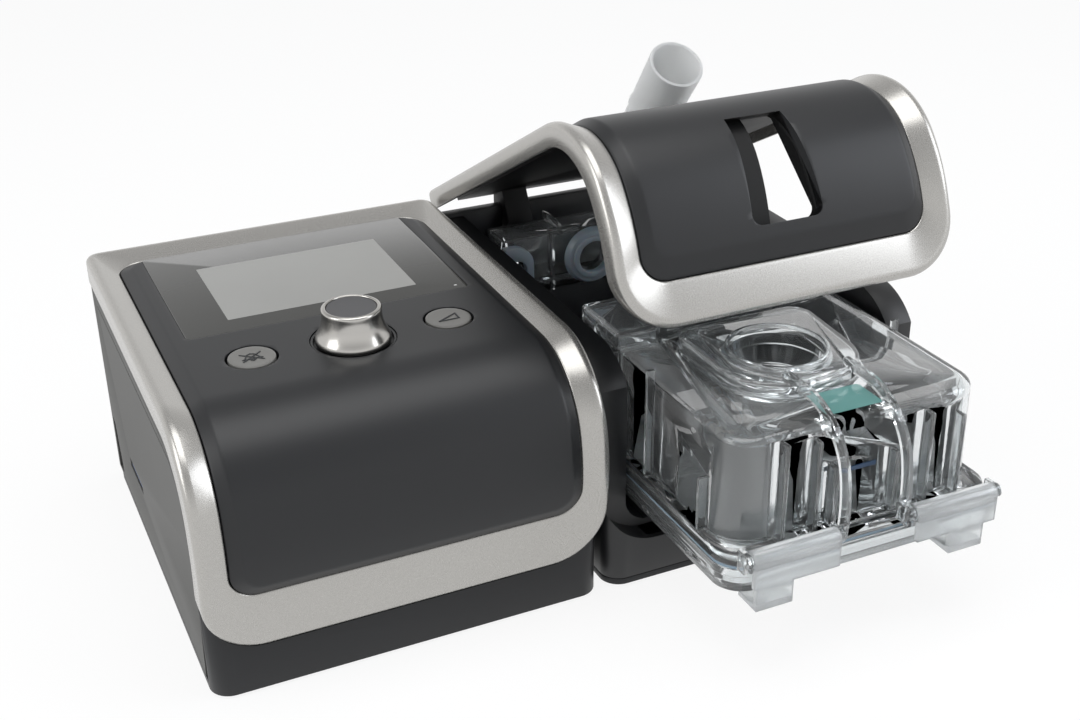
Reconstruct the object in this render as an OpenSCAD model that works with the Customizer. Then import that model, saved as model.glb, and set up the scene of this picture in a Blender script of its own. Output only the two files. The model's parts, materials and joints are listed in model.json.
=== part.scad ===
/* [Housing] */
// Width of the main unit
main_w = 152; // [146:1:164]
// Width of the humidifier
hum_w = 143; // [141:1:153]
// Gap between the two housings
dock_gap = 1.5; // [1:0.5:2.5]
// Depth to the rear edge of the silver frames
frame_depth = 177; // [175:1:182]
// Thickness of the housing walls
wall = 2.5; // [2:0.1:3]
// Front face of the housings below the silver frames
base_y = 1.5; // [1:0.1:2]
// Set-in of the housing sides from the silver frames
side_in = 1; // [0.6:0.1:1.4]
// Height of the rubber feet
foot_h = 1.2; // [1:0.1:2]
// Diameter of the rubber feet
foot_d = 12; // [9:0.5:14]
// Plan radius of the housing corners
corner_r = 8; // [6:0.5:9]

/* [Side profile] */
// Radius of the brow where the top turns down to the front
nose_r = 37.5; // [36:0.5:39]
// Front-to-back place of the brow's centre
nose_y = 33.6; // [33:0.1:35]
// Height of the brow's centre
nose_z = 65.1; // [63:0.1:67]
// Forward fall of the top face in degrees
top_slope = 0.7; // [0.4:0.1:1.2]
// Angle at which the brow gives way to the front face
brow_phi = 77.75; // [76:0.25:79]
// Radius of the front face
front_r = 75; // [70:1:80]
// Angle at which the front face runs straight down
chin_phi = 98; // [97:0.5:99]
// Height of the lower edge of the silver frames
seam_z = 19.5; // [18.5:0.5:20.5]

/* [Silver frames] */
// Thickness of the frames' skin
bezel_t = 3; // [2.6:0.1:3.2]
// Width of the main frame's side rails
rail_w = 10.4; // [10:0.1:11.5]
// Depth of the main frame's side skirts
skirt_depth = 10.9; // [10:0.1:11.5]
// Thickness of the side skirts
skirt_t = 2; // [1.8:0.1:2.2]
// Width of the main frame's front bar
bar_w = 22; // [20:0.5:23]
// Width of the bar along the rear edge
rear_rim = 13; // [12:0.5:13.5]
// Outer radius of the lower corners
frame_corner_r = 22; // [20:0.5:23]
// Radius of the opening's lower corners
opening_corner_r = 10; // [8:0.5:11]
// Width of the lid frame's side rails
lid_rail_w = 11; // [10.6:0.1:11.6]
// Depth of the lid frame's side skirts
lid_skirt = 9; // [8.4:0.1:9.2]
// Width of the lid frame's front bar
lid_bar_w = 16.5; // [15:0.5:18]

/* [Panels] */
// Set-in of the panels below the side profile
panel_sink = 0.5; // [0.3:0.1:0.8]
// Thickness of the panels
panel_t = 2.5; // [2.2:0.1:2.7]
// Gap between a panel and its frame
panel_gap = 0.4; // [0.3:0.05:0.6]
// Width of the lip by which a panel sits under its frame
panel_lip = 2; // [1.5:0.1:2.2]

/* [Display] */
// Width of the glossy window
lens_w = 111; // [108:1:114]
// Gap from the window's rear edge to the rear bar
lens_rear = 4; // [3:0.1:5]
// Front edge of the window behind the brow
lens_at = 45.5; // [44.5:0.5:47]
// Thickness of the window
lens_t = 1.2; // [1:0.1:1.4]
// Width of the picture area
lcd_w = 75; // [72:1:78]
// Height of the picture area
lcd_h = 52; // [49:1:54]
// Border of the display module round its picture
lcd_border = 3; // [2:0.5:4]
// Depth of the display module
lcd_t = 3.2; // [2.5:0.1:3.6]
// Centre of the picture behind the brow
lcd_at = 81.9; // [81:0.1:83]

/* [Knob and buttons] */
// Diameter of the knob at its foot
knob_d = 28; // [26:0.5:29]
// Diameter of the knob at its top
knob_top_d = 22; // [20.5:0.5:23]
// Height of the knob above the panel
knob_h = 13; // [11:0.5:15]
// Diameter of the dark disc in the knob's top
insert_d = 19; // [17:0.5:19.5]
// Diameter of the round recess for the knob
well_d = 32; // [31:0.5:34]
// Depth of the recess under the panel's face
well_deep = 1.8; // [1.5:0.1:2.1]
// Place of the knob behind the brow
knob_at = 20.9; // [20:0.1:22]
// Diameter of the encoder's shaft
shaft_d = 6; // [5:0.5:6.5]
// Travel of the knob when it is pressed
knob_press = 0.6; // [0.4:0.1:0.8]
// Diameter of the two round buttons
button_d = 17.2; // [16:0.1:17.6]
// Diameter of the panel's button holes
button_hole_d = 19.2; // [18.6:0.1:19.6]
// Sideways place of the buttons from the knob
button_out = 37.5; // [36:0.5:39]
// Place of the buttons behind the brow
button_at = 21.9; // [21:0.1:23]
// Travel of a button
button_press = 0.6; // [0.4:0.1:0.8]
// Depth of the control board under the side profile
board_deep = 13; // [12.6:0.1:14]
// Thickness of the circuit boards
board_t = 1.6; // [1:0.2:2]

/* [Blower] */
// Outer radius of the blower's volute
volute_r = 38; // [36:0.5:40]
// Height of the volute's underside
volute_z = 24; // [22:0.5:26]
// Height of the joint between the volute's halves
volute_split = 46; // [45:0.5:48]
// Height of the volute's top
volute_top = 66; // [64:0.5:68]
// Place of the blower's axis from the main unit's right side
blower_in = 60; // [58:0.5:62]
// Place of the blower's axis from the rear edge of the frames
blower_back = 65; // [63:0.5:67]
// Outer diameter of the impeller
impeller_d = 62; // [58:1:64]
// Number of impeller blades
blade_n = 9; // [7:1:11]
// Diameter of the motor
motor_d = 34; // [30:1:36]
// Diameter of the motor's shaft
motor_shaft_d = 3; // [2.5:0.5:4]
// Outer diameter of the air coupling
air_d = 24; // [22:0.5:25]

/* [Humidifier] */
// Thickness of the side walls
side_wall = 13; // [12.6:0.1:13.2]
// Set-in of the wall tops from the side profile
seat_in = 9.8; // [9.6:0.1:10.4]
// Height of the cavity's floor and of its front lip
floor_z = 22; // [21:0.5:22.5]
// Height of the guide rails' top
guide_z = 32.2; // [31.8:0.1:32.6]
// Width of the guide rails
guide_w = 7.5; // [7:0.5:9]
// Height of the rear wall
back_top = 96.3; // [95.5:0.1:96.6]
// Width of the heater plate
heater_w = 84; // [78:1:88]
// Front edge of the heater plate
heater_y0 = 22; // [20:1:26]
// Gap from the heater plate to the rear end of the chamber's flange
heater_rear = 18; // [15:1:22]
// Thickness of the heater plate
heater_t = 3; // [2:0.5:4]
// Place of the rear partition from the rear edge of the frames
partition_back = 39; // [38:0.5:40]
// Height of the rear partition
partition_top = 66; // [64:0.5:67]

/* [Lid hinge] */
// Place of the hinge axis behind the rear edge of the frames
hinge_behind = 2.35; // [2:0.05:3]
// Height of the hinge axis
hinge_z = 89.2; // [88.8:0.1:89.6]
// Opening angle of the lid as photographed
lid_open = 28.56; // [26:0.5:30]
// Diameter of the hinge pins
hinge_pin_d = 3; // [2.5:0.1:3.4]
// Outer diameter of the hinge barrels
hinge_barrel_d = 8; // [7.4:0.1:8.4]
// Width of the hinge arms
arm_w = 12; // [10:0.5:13]
// Place of the left hinge arm from the humidifier's left side
arm_in = 32.5; // [32:0.5:36]

/* [Lid window] */
// Width of the window at its foot
window_w = 30; // [27:0.5:32]
// Width of the window at its top
window_top_w = 24; // [22:0.5:26]
// Height of the window's foot
window_z = 49; // [48:0.5:52]
// Height of the window's top
window_top_z = 90; // [88:0.5:91]
// Place of the window's centre from the humidifier's left side
window_at = 71.5; // [70:0.5:73]

/* [Outlet elbow] */
// Place of the elbow from the humidifier's right side
elbow_in = 20.1; // [19.6:0.1:20.6]
// Height of the elbow's stub
elbow_z = 79.9; // [79:0.1:81]
// Outer diameter of the elbow's tube
elbow_d = 24; // [23.6:0.1:24.4]
// Outer diameter of the elbow's mouth
mouth_d = 26.4; // [26:0.1:27]
// Bore of the elbow's mouth
mouth_bore = 22.6; // [22:0.1:23]
// Bore of the elbow behind the mouth
elbow_bore = 19; // [18:0.5:20]
// Depth of the mouth's bore
mouth_deep = 32; // [28:1:34]
// Radius of the elbow's bend
bend_r = 16; // [15:0.5:18]
// Turn of the bend in degrees
bend_turn = 128; // [120:1:132]
// Straight length from the bend to the mouth
elbow_run = 57; // [54:1:60]
// Place of the bend behind the rear edge of the frames
bend_behind = 17.5; // [16:0.5:19]

/* [Water chamber] */
// How far the chamber is pulled out
chamber_out = 70; // [66:1:72]
// Gap from the chamber's flange to the walls at its sides
flange_gap = 1; // [0.8:0.1:2]
// Front edge of the flange when the chamber is home
flange_front = 8.7; // [8.4:0.1:9.4]
// Gap from the flange to the rear partition when the chamber is home
flange_rear = 14; // [12:1:20]
// Plan radius of the flange's corners
flange_r = 12; // [10:0.5:14]
// Height of the tray's underside
tray_z = 32.5; // [32.3:0.1:33]
// Height of the joint between tray and body
joint_z = 43; // [42:0.5:44]
// Height of the body's flange
flange_top = 48; // [47:0.5:49]
// Height of the body's top face
body_top = 88; // [86:0.5:89]
// Set-in of the body's walls from the flange
body_in = 4; // [3.6:0.1:4.6]
// Thickness of the clear walls
clear_t = 2; // [1.6:0.1:2.4]
// Plan radius of the body's front corners
body_r = 13; // [11:0.5:14]
// Outer radius of the port tower's ring
tower_r = 19.5; // [18.5:0.5:20.5]
// Wall of the port tower
tower_t = 2.5; // [2:0.1:3]
// Height of the tower's rim
tower_top = 95; // [94:0.2:95.4]
// Place of the tower's centre from the humidifier's left side
tower_at = 66.5; // [65:0.5:68]
// Front-to-back place of the tower when the chamber is home
tower_y = 64.5; // [62:0.5:66]
// Set-in of the grip arch from the side profile
arch_in = 9; // [8.8:0.1:10]
// Spacing of the grip arch's two ribs
arch_w = 24; // [22:0.5:26]
// Diameter of the clips' pivot barrels
clip_barrel_d = 7; // [6.4:0.1:7.4]
// Length of a clip
clip_l = 35; // [32:0.5:37]
// Width of a clip's foot
clip_foot_w = 15; // [13:0.5:17]

/* [Clearances] */
// Gap between pieces that are assembled face to face
fit = 0.3; // [0.2:0.05:0.35]
// Radial gap in turning and sliding bores
run = 0.05; // [0.03:0.01:0.08]

/* [Hidden] */
$fn = 72;
eps = 0.01;
reach = 300;

hum_x = main_w + dock_gap;
total_w = hum_x + hum_w;
deck_z = foot_h + wall;
hinge_y = frame_depth + hinge_behind;
partition_y = frame_depth - partition_back;
blower_x = main_w - blower_in;
blower_y = frame_depth - blower_back;
flange_w = hum_w - 2 * side_wall - 2 * flange_gap;
flange_back = partition_y - flange_rear;
heater_l = flange_back - heater_rear - heater_y0;
nose_c = [nose_y, nose_z];
front_c = nose_c + (nose_r - front_r) * normal(brow_phi);

// Side profile: phi is the outward normal's angle from straight up, d the depth under it
function normal(phi) = [-sin(phi), cos(phi)];
function on_nose(phi, d) = nose_c + (nose_r - d) * normal(phi);
function on_front(phi, d) = front_c + (front_r - d) * normal(phi);
function top_at(y, d) = on_nose(top_slope, d)[1] + (y - on_nose(top_slope, d)[0]) * tan(top_slope);
function chin_at(z, d) = on_front(chin_phi, d)[0] - (on_front(chin_phi, d)[1] - z)
    * cos(chin_phi) / sin(chin_phi);

// Each line or arc of the profile starts this far under the one before, so that the two cross
tuck = 0.013;

// Length of the window, which ends short of the rear bar
lens_l = (frame_depth - rear_rim - lens_rear - on_nose(top_slope, 0)[0]) / cos(top_slope) - lens_at;

module front_arc(d) {
    r = front_r - d - tuck;
    mid = (brow_phi + chin_phi) / 2;
    intersection() {
        translate(front_c) circle(r);
        polygon([
            front_c, front_c + 2 * r * normal(brow_phi), front_c + 2 * r * normal(mid),
            front_c + 2 * r * normal(chin_phi + 4),
        ]);
    }
}

// Everything more than d under the housing's skin, from the front to back
module region(d, back) {
    intersection() {
        union() {
            polygon([
                [reach, 0], [reach, top_at(reach, d + tuck)], on_nose(top_slope, d + tuck),
                nose_c, on_front(chin_phi, d + 2 * tuck), [chin_at(0, d + 2 * tuck), 0],
            ]);
            translate(nose_c) circle(nose_r - d);
            front_arc(d);
        }
        zone(-reach, back, 0, reach);
    }
}

module above(z) translate([-reach, z]) square([2 * reach, reach]);
module zone(y0, y1, z0, z1) translate([y0, z0]) square([y1 - y0, z1 - z0]);

// A layer of the housing between two depths
module peel(d0, d1, back) {
    difference() {
        region(d0, back);
        region(d1, back + 1);
    }
}

// 2D (y, z) swept along X, and 2D (x, z) swept along Y
module along_x(x0, x1) translate([x0, 0, 0]) rotate([90, 0, 90]) linear_extrude(x1 - x0) children();
module along_y(y0, y1) translate([0, y1, 0]) rotate([90, 0, 0]) linear_extrude(y1 - y0) children();
module along_z(z0, z1) translate([0, 0, z0]) linear_extrude(z1 - z0) children();
module box(lo, hi) translate(lo) cube(hi - lo);

module round_rect(x0, y0, x1, y1, r) {
    translate([x0 + r, y0]) square([x1 - x0 - 2 * r, y1 - y0]);
    translate([x0, y0 + r]) square([x1 - x0, y1 - y0 - 2 * r]);
    for (x = [x0 + r, x1 - r])
        for (y = [y0 + r, y1 - r])
            translate([x, y]) circle(r);
}

// Rectangle with round lower corners that runs up past the object
module tall_round(x0, x1, z0, r) round_rect(x0, z0, x1, z0 + reach, r);

// Frame that follows the top face behind the brow, with Z along its normal
module on_top() {
    translate([0, on_nose(top_slope, 0)[0], on_nose(top_slope, 0)[1]])
        rotate([top_slope, 0, 0])
            children();
}

module on_knob() on_top() translate([main_w / 2, knob_at, 0]) children();
module on_button(side) on_top() translate([main_w / 2 + side * button_out, button_at, 0]) children();

module ring(r_out, r_in, h) {
    difference() {
        cylinder(r = r_out, h = h);
        translate([0, 0, -1]) cylinder(r = r_in, h = h + 2);
    }
}

// Silver frame of either unit, from x0 to x1
module frame_skin(x0, x1, rail, bar, skirt) {
    difference() {
        along_x(x0, x1) intersection() {
            region(0, frame_depth);
            above(seam_z);
        }
        along_x(x0 + skirt_t, x1 - skirt_t) region(bezel_t, frame_depth + 1);
        along_x(x0 - 1, x1 + 1) region(skirt, frame_depth + 1);
        along_y(-reach, frame_depth - rear_rim)
            tall_round(x0 + rail, x1 - rail, seam_z + bar, opening_corner_r);
        for (side = [0, 1])
            frame_corner_cut(side == 0 ? x0 : x1, side == 0 ? 1 : -1);
    }
}

module frame_corner_cut(x, dir) {
    r = frame_corner_r;
    along_y(-reach, nose_y) difference() {
        translate([min(x - dir, x + dir * r), seam_z - 1]) square([r + 1, r + 1]);
        translate([x + dir * r, seam_z + r]) circle(r);
    }
}

// Panel that fills a frame's opening, with a lip under the frame
module frame_plug(x0, x1, rail, bar) {
    left = x0 + rail;
    right = x1 - rail;
    foot = seam_z + bar;
    r = opening_corner_r;
    back = frame_depth - rear_rim - panel_gap;
    step_y = chin_at(foot, bezel_t) + fit;
    difference() {
        union() {
            along_x(left + panel_gap, right - panel_gap) intersection() {
                peel(panel_sink, panel_in, back);
                above(foot + panel_gap);
            }
            for (x = [left - panel_lip, right - panel_gap])
                along_x(x, x + panel_lip + panel_gap) intersection() {
                    peel(bezel_t, panel_in, back);
                    above(foot - panel_lip);
                }
            along_x(left + panel_gap, right - panel_gap) intersection() {
                peel(bezel_t, panel_in, back);
                zone(-reach, nose_y, foot - panel_lip, foot + panel_gap);
            }
        }
        for (side = [0, 1]) along_y(-reach, step_y) {
            corner_x = side == 0 ? left + panel_gap : right - panel_gap;
            difference() {
                translate([side == 0 ? corner_x - 1 : corner_x - r, foot + panel_gap - 1])
                    square([r + 1, r + 1]);
                translate([side == 0 ? corner_x + r : corner_x - r, foot + panel_gap + r]) circle(r);
            }
        }
    }
}

panel_in = panel_sink + panel_t + bezel_t / 2;

// Plan of a housing's outer walls and of its inside
module house_plan(x0, x1, d) {
    round_rect(x0 + side_in + d, base_y + d, x1 - side_in - d, frame_depth - 1 - d, corner_r - d);
}

apron_back = base_y + corner_r;
shell_skirt = skirt_depth + fit;

module main_base() color("#3a3c3e") {
    difference() {
        union() {
            along_z(foot_h, deck_z) house_plan(0, main_w, 0);
            intersection() {
                along_z(foot_h, seam_z + frame_corner_r) difference() {
                    house_plan(0, main_w, 0);
                    house_plan(0, main_w, wall);
                }
                box([-1, -1, 0], [main_w + 1, apron_back, reach]);
            }
            for (p = board_posts) translate([p[0], p[1], deck_z - eps])
                cylinder(d = 7, h = board_z - deck_z + eps);
            for (p = damper_spots) translate([p[0], p[1], deck_z - eps])
                cylinder(d = 12, h = damper_z - deck_z + eps);
        }
        along_y(-reach, apron_back + 1)
            tall_round(-fit, main_w + fit, seam_z - fit, frame_corner_r + fit);
        for (p = main_screw_spots) translate([p[0], p[1], 0]) {
            cylinder(d = screw_d + 2 * fit, h = reach);
            cylinder(d = screw_head_d + 2 * fit, h = foot_h + screw_head_t);
        }
    }
}

// Places of posts, screws and boards in the main unit
board_z = 12;
board_x0 = 16;
board_x1 = main_w - 16;
board_y0 = 12;
board_y1 = blower_y - volute_r - 8;
board_posts = [for (x = [board_x0 + 5, board_x1 - 5]) for (y = [board_y0 + 5, board_y1 - 5]) [x, y]];
damper_z = 16;
damper_out = volute_r - 8;
damper_spots = [for (a = [45, 135, 225, 315]) [blower_x + damper_out * cos(a),
    blower_y + damper_out * sin(a)]];
screw_d = 3;
screw_head_d = 5.6;
screw_head_t = 1.5;
screw_in = 9;
screw_l = 12;
main_screw_spots = [for (x = [screw_in, main_w - screw_in]) for (y = [apron_back + 12,
    frame_depth - 1 - 12]) [x, y]];
foot_in = 18;

// Outer faces of the main unit's rear wall
rear_y = frame_depth - 1;
rear_top = top_at(rear_y, bezel_t) - fit;

module main_shell() color("#4b4d4f") {
    difference() {
        union() {
            for (side = [0, 1]) {
                out = side == 0 ? side_in : main_w - side_in - wall;
                tongue = side == 0 ? skirt_t + fit : main_w - skirt_t - fit - wall;
                boss = side == 0 ? side_in + eps : main_w - screw_in - screw_boss_d / 2;
                along_x(out, out + wall) intersection() {
                    region(shell_skirt, rear_y);
                    zone(apron_back + fit, rear_y, deck_z + fit, reach);
                }
                along_x(tongue, tongue + wall) intersection() {
                    peel(bezel_t + fit, shell_skirt + 2 * wall, rear_y);
                    zone(nose_y, rear_y, deck_z + fit, reach);
                }
                for (p = [main_screw_spots[0][1], main_screw_spots[1][1]])
                    difference() {
                        union() {
                            translate([main_screw_spots[side * 2][0], p, deck_z + fit])
                                cylinder(d = screw_boss_d, h = screw_boss_h);
                            box([boss, p - wall / 2, deck_z + fit],
                                [boss + screw_in + screw_boss_d / 2 - side_in - eps, p + wall / 2,
                                    deck_z + fit + screw_boss_h]);
                        }
                        translate([main_screw_spots[side * 2][0], p, 0])
                            cylinder(d = screw_d, h = foot_h + screw_l + 1);
                    }
            }
            box([side_in, rear_y - wall, deck_z + fit],
                [main_w - side_in, rear_y, top_at(rear_y, shell_skirt)]);
            box([skirt_t + fit, rear_y - wall, deck_z + fit],
                [main_w - skirt_t - fit, rear_y, rear_top]);
            filter_frame();
        }
        filter_hole(0);
        power_hole();
        port_hole();
        card_hole();
        translate([0, air_y, air_z]) rotate([0, 90, 0])
            translate([0, 0, main_w - 3 * wall]) cylinder(d = air_d + 2 * fit, h = 4 * wall);
        for (y = hook_spots) box([main_w - 3 * wall, y - hook_w / 2 - fit, hook_z - hook_lip - fit],
            [main_w + 1, y + hook_w / 2 + fit, hook_z + hook_h + fit]);
    }
}
screw_boss_d = 7;
screw_boss_h = 14;

module bezel_frame() color("#c9c7c3") frame_skin(0, main_w, rail_w, bar_w, skirt_depth);

module top_panel() color("#38393b") {
    difference() {
        union() {
            frame_plug(0, main_w, rail_w, bar_w);
            on_top() for (p = control_posts)
                translate([p[0], p[1], -board_deep]) cylinder(d = 6, h = board_deep - panel_in + eps);
        }
        on_top() {
            lens_box(fit / 2, lens_t, 1);
            translate([main_w / 2 - lcd_w / 2 - 1, lcd_at - lcd_h / 2 - 1, -panel_in - 1])
                cube([lcd_w + 2, lcd_h + 2, panel_in + 2]);
            translate([lamp_x, lamp_y, -panel_in - 1]) cylinder(d = lamp_d + 2 * fit, h = panel_in + 2);
        }
        on_knob() translate([0, 0, -panel_in - 1]) cylinder(d = well_d, h = panel_in + 2);
        for (side = [-1, 1])
            on_button(side) translate([0, 0, -panel_in - 1])
                cylinder(d = button_hole_d, h = panel_in + 2);
    }
}

control_y0 = 6;
control_y1 = lens_at + lens_l - 5;
control_side = 14;
control_posts = [for (x = [-1, 1]) for (y = [control_y0 + 5, control_y1 - 5]) [main_w / 2 + x
    * (lcd_w / 2 + lcd_border + 7), y]];

module lens_box(grow, deep, up) {
    translate([main_w / 2 - lens_w / 2 - grow, lens_at - grow, -panel_sink - deep])
        cube([lens_w + 2 * grow, lens_l + 2 * grow, deep + up]);
}

module display_lens() color("#202225") on_top() lens_box(0, lens_t, 0);

lcd_top = -panel_in - fit / 2;
module lcd_module() color("#b9bdbc") on_top() {
    w = lcd_w + 2 * lcd_border;
    h = lcd_h + 2 * lcd_border;
    x0 = main_w / 2 - w / 2;
    y0 = lcd_at - h / 2;
    translate([x0, y0, lcd_top - lcd_t]) cube([w, h, lcd_t]);
    translate([main_w / 2 - lcd_w / 2, lcd_at - lcd_h / 2, lcd_top - eps])
        cube([lcd_w, lcd_h, panel_in - panel_sink - lens_t - fit]);
    for (x = [x0, x0 + w - 3])
        for (y = [y0 + 2, y0 + h - 6])
            translate([x, y, -board_deep]) cube([3, 4, board_deep + lcd_top - lcd_t + eps]);
}

lamp_x = main_w / 2 + lens_w / 2 - 4.5;
lamp_y = lens_at + 3.5;
lamp_d = 1.4;
module status_lamp() color("#d8e4dc") on_top() {
    translate([lamp_x, lamp_y, -board_deep])
        cylinder(d = lamp_d, h = board_deep - panel_sink - lens_t - fit / 2);
    translate([lamp_x, lamp_y, -board_deep]) cylinder(d = 3, h = 3);
}

well_floor = panel_sink + well_deep;
module knob_well() color("#2c2d2f") on_knob() {
    difference() {
        union() {
            translate([0, 0, -panel_in]) cylinder(d = well_d - 2 * fit, h = panel_in - panel_sink - 0.4);
            translate([0, 0, -panel_in - 1.2]) cylinder(d = well_d + 5, h = 1.2 - fit / 2);
            translate([0, 0, -panel_in - fit]) cylinder(d = well_d - 2 * fit, h = 2 * fit);
        }
        translate([0, 0, -well_floor]) cylinder(d = knob_d + 2 * 0.7, h = reach);
        translate([0, 0, -reach / 2]) cylinder(d = bush_d + 2 * fit, h = reach);
    }
}

bush_d = shaft_d + 3;
encoder_top = -board_deep + 6;
module encoder_body() color("#6d7073") on_knob() {
    difference() {
        union() {
            translate([-6.5, -6.5, -board_deep]) cube([13, 13, 6]);
            translate([0, 0, encoder_top - eps])
                cylinder(d = bush_d, h = board_deep - 6 - well_floor + eps);
        }
        translate([0, 0, -board_deep + 1.5]) cylinder(d = shaft_d + 2 * run, h = reach);
    }
}

shaft_foot = -board_deep + 1.5 + knob_press + fit;
shaft_top = knob_h - panel_sink - 4;
module encoder_shaft() color("#8f9294") on_knob()
    translate([0, 0, shaft_foot]) cylinder(d = shaft_d, h = shaft_top - shaft_foot);

knob_foot = -well_floor + knob_press + fit;
knob_top = knob_h - panel_sink;
module knob() color("#c4c3bf") on_knob() {
    r = knob_d / 2;
    rt = knob_top_d / 2;
    lip = 1.2;
    sag = r - rt;
    difference() {
        rotate_extrude() difference() {
            union() {
                translate([0, knob_foot]) square([r, lip + panel_sink - knob_foot]);
                translate([0, knob_foot]) square([rt, knob_top - knob_foot - lip]);
                translate([0, knob_foot]) square([rt - lip, knob_top - knob_foot]);
                translate([rt - lip, knob_top - lip]) circle(lip);
                difference() {
                    translate([0, lip]) square([r, 2.2 * sag]);
                    translate([rt + 2.2 * sag, lip + 2.2 * sag]) circle(2.2 * sag);
                    translate([rt + 1.6 * sag, -1]) square([r, reach]);
                }
            }
            translate([-reach, -reach]) square([reach, 2 * reach]);
        }
        translate([0, 0, knob_top - insert_deep]) cylinder(d = insert_d + 2 * fit, h = 2);
        translate([0, 0, knob_foot - 1]) cylinder(d = shaft_d + 2 * run,
            h = shaft_top - knob_foot + 1 + fit);
        translate([0, 0, knob_foot - 1]) cylinder(d = bush_d + 2, h = 1 - knob_foot + 1);
    }
}

insert_deep = 1.2;
module knob_insert() color("#3c3d40") on_knob()
    translate([0, 0, knob_top - insert_deep]) cylinder(d = insert_d, h = insert_deep - 0.3);

button_flange_t = 1;
module button(side) on_button(side) {
    top = -panel_sink + 0.3;
    under = -panel_in - fit - button_flange_t;
    translate([0, 0, under]) cylinder(d = button_d, h = top - under);
    translate([0, 0, under]) cylinder(d = button_hole_d + 2.5, h = button_flange_t);
    translate([0, 0, -board_deep + switch_h + fit + button_press])
        cylinder(d = 4, h = board_deep - switch_h - fit - button_press + under + eps);
}
module mute_button() color("#7d7c79") button(-1);
module ramp_button() color("#7d7c79") button(1);

switch_w = 6;
switch_h = 3.5;
switch_d = 3.4;
module button_switches() color("#55585b") {
    for (side = [-1, 1]) on_button(side) translate([0, 0, -board_deep]) {
        translate([-switch_w / 2, -switch_w / 2, 0]) cube([switch_w, switch_w, switch_h - 1]);
        cylinder(d = switch_d, h = switch_h);
    }
}

module control_board() color("#1f5a3c") on_top()
    translate([main_w / 2 - button_out - control_side, control_y0, -board_deep - board_t])
        cube([2 * button_out + 2 * control_side, control_y1 - control_y0, board_t]);

// Main board: a row of packages in front of a row of capacitors
chip = [14, 18, 5];
chip_in = 22;
chip_step = 24;
capacitor_d = 10;
capacitor_h = 14;
capacitor_in = 34;
capacitor_step = 26;
row_in = 12;
module main_board() color("#1f5a3c") {
    box([board_x0, board_y0, board_z], [board_x1, board_y1, board_z + board_t]);
    for (i = [0:3])
        translate([board_x0 + chip_in + chip_step * i, board_y0 + row_in, board_z + board_t - eps])
            cube(chip);
    for (i = [0:2])
        translate([board_x0 + capacitor_in + capacitor_step * i, board_y1 - row_in,
            board_z + board_t - eps])
            cylinder(d = capacitor_d, h = capacitor_h);
}

// Blower: two volute halves, impeller and motor on rubber dampers
air_y = blower_y + volute_r - air_d / 2 - 1;
air_z = (volute_z + volute_top) / 2;
spout_end = main_w - 14;

module volute_half(z0, z1, floor_low) {
    difference() {
        union() {
            translate([blower_x, blower_y, z0]) cylinder(r = volute_r, h = z1 - z0);
            intersection() {
                translate([blower_x, air_y, air_z]) rotate([0, 90, 0])
                    cylinder(d = air_d, h = spout_end - blower_x);
                box([0, 0, z0], [reach, reach, z1]);
            }
        }
        translate([blower_x, blower_y, floor_low ? z0 + wall : z0 - 1])
            cylinder(r = volute_r - wall, h = z1 - z0 - wall + 1);
        translate([blower_x, air_y, air_z]) rotate([0, 90, 0])
            cylinder(d = air_d - 2 * wall, h = reach);
    }
}

module volute_lower() color("#d7d9da") difference() {
    union() {
        volute_half(volute_z, volute_split - fit / 2, true);
        for (p = damper_spots) translate([p[0], p[1], volute_z - 2]) cylinder(d = 9, h = 2 + eps);
    }
    for (p = damper_spots) translate([p[0], p[1], volute_z - 3]) cylinder(d = 4, h = 4);
}

module volute_upper() color("#d7d9da") difference() {
    volute_half(volute_split + fit / 2, volute_top, false);
    translate([blower_x, blower_y, volute_top - 2 * wall]) cylinder(d = 32, h = 3 * wall);
}

motor_h = volute_split - volute_z - wall - 6;
motor_top = volute_z + wall + motor_h;
impeller_h = 12;
module blower_motor() color("#9a9da0") translate([blower_x, blower_y, 0]) {
    translate([0, 0, volute_z + wall]) cylinder(d = motor_d, h = motor_h);
    translate([0, 0, motor_top - eps]) cylinder(d = motor_shaft_d, h = impeller_h + 1);
}

module impeller() color("#e4e6e6") translate([blower_x, blower_y, motor_top + 1]) {
    r = impeller_d / 2;
    difference() {
        union() {
            cylinder(r = r, h = 1.2);
            cylinder(d = motor_shaft_d + 6, h = impeller_h);
            for (i = [0:blade_n - 1])
                rotate([0, 0, 360 / blade_n * i]) translate([r / 2 + 5, 0, 0.6]) rotate([0, 0, 180])
                    rotate_extrude(angle = 90) translate([r / 2, 0]) square([1.2, impeller_h - 2.6]);
        }
        translate([0, 0, -1]) cylinder(d = motor_shaft_d + 2 * run, h = impeller_h + 2);
    }
}

module blower_dampers() color("#2b2c2e") for (p = damper_spots) translate([p[0], p[1], damper_z]) {
    cylinder(d = 11, h = volute_z - 2 - damper_z);
    cylinder(d = 4 - 2 * run, h = volute_z - damper_z + 0.5);
}

// Air inlet at the rear: cover, filter and silencer foam
filter_x0 = 16;
filter_x1 = 62;
filter_z0 = 26;
filter_z1 = 62;
filter_t = 8;
cover_pin_l = 2;
module filter_hole(grow) box([filter_x0 - grow, rear_y - wall - 1, filter_z0 - grow],
    [filter_x1 + grow, rear_y + 1, filter_z1 + grow]);

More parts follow.
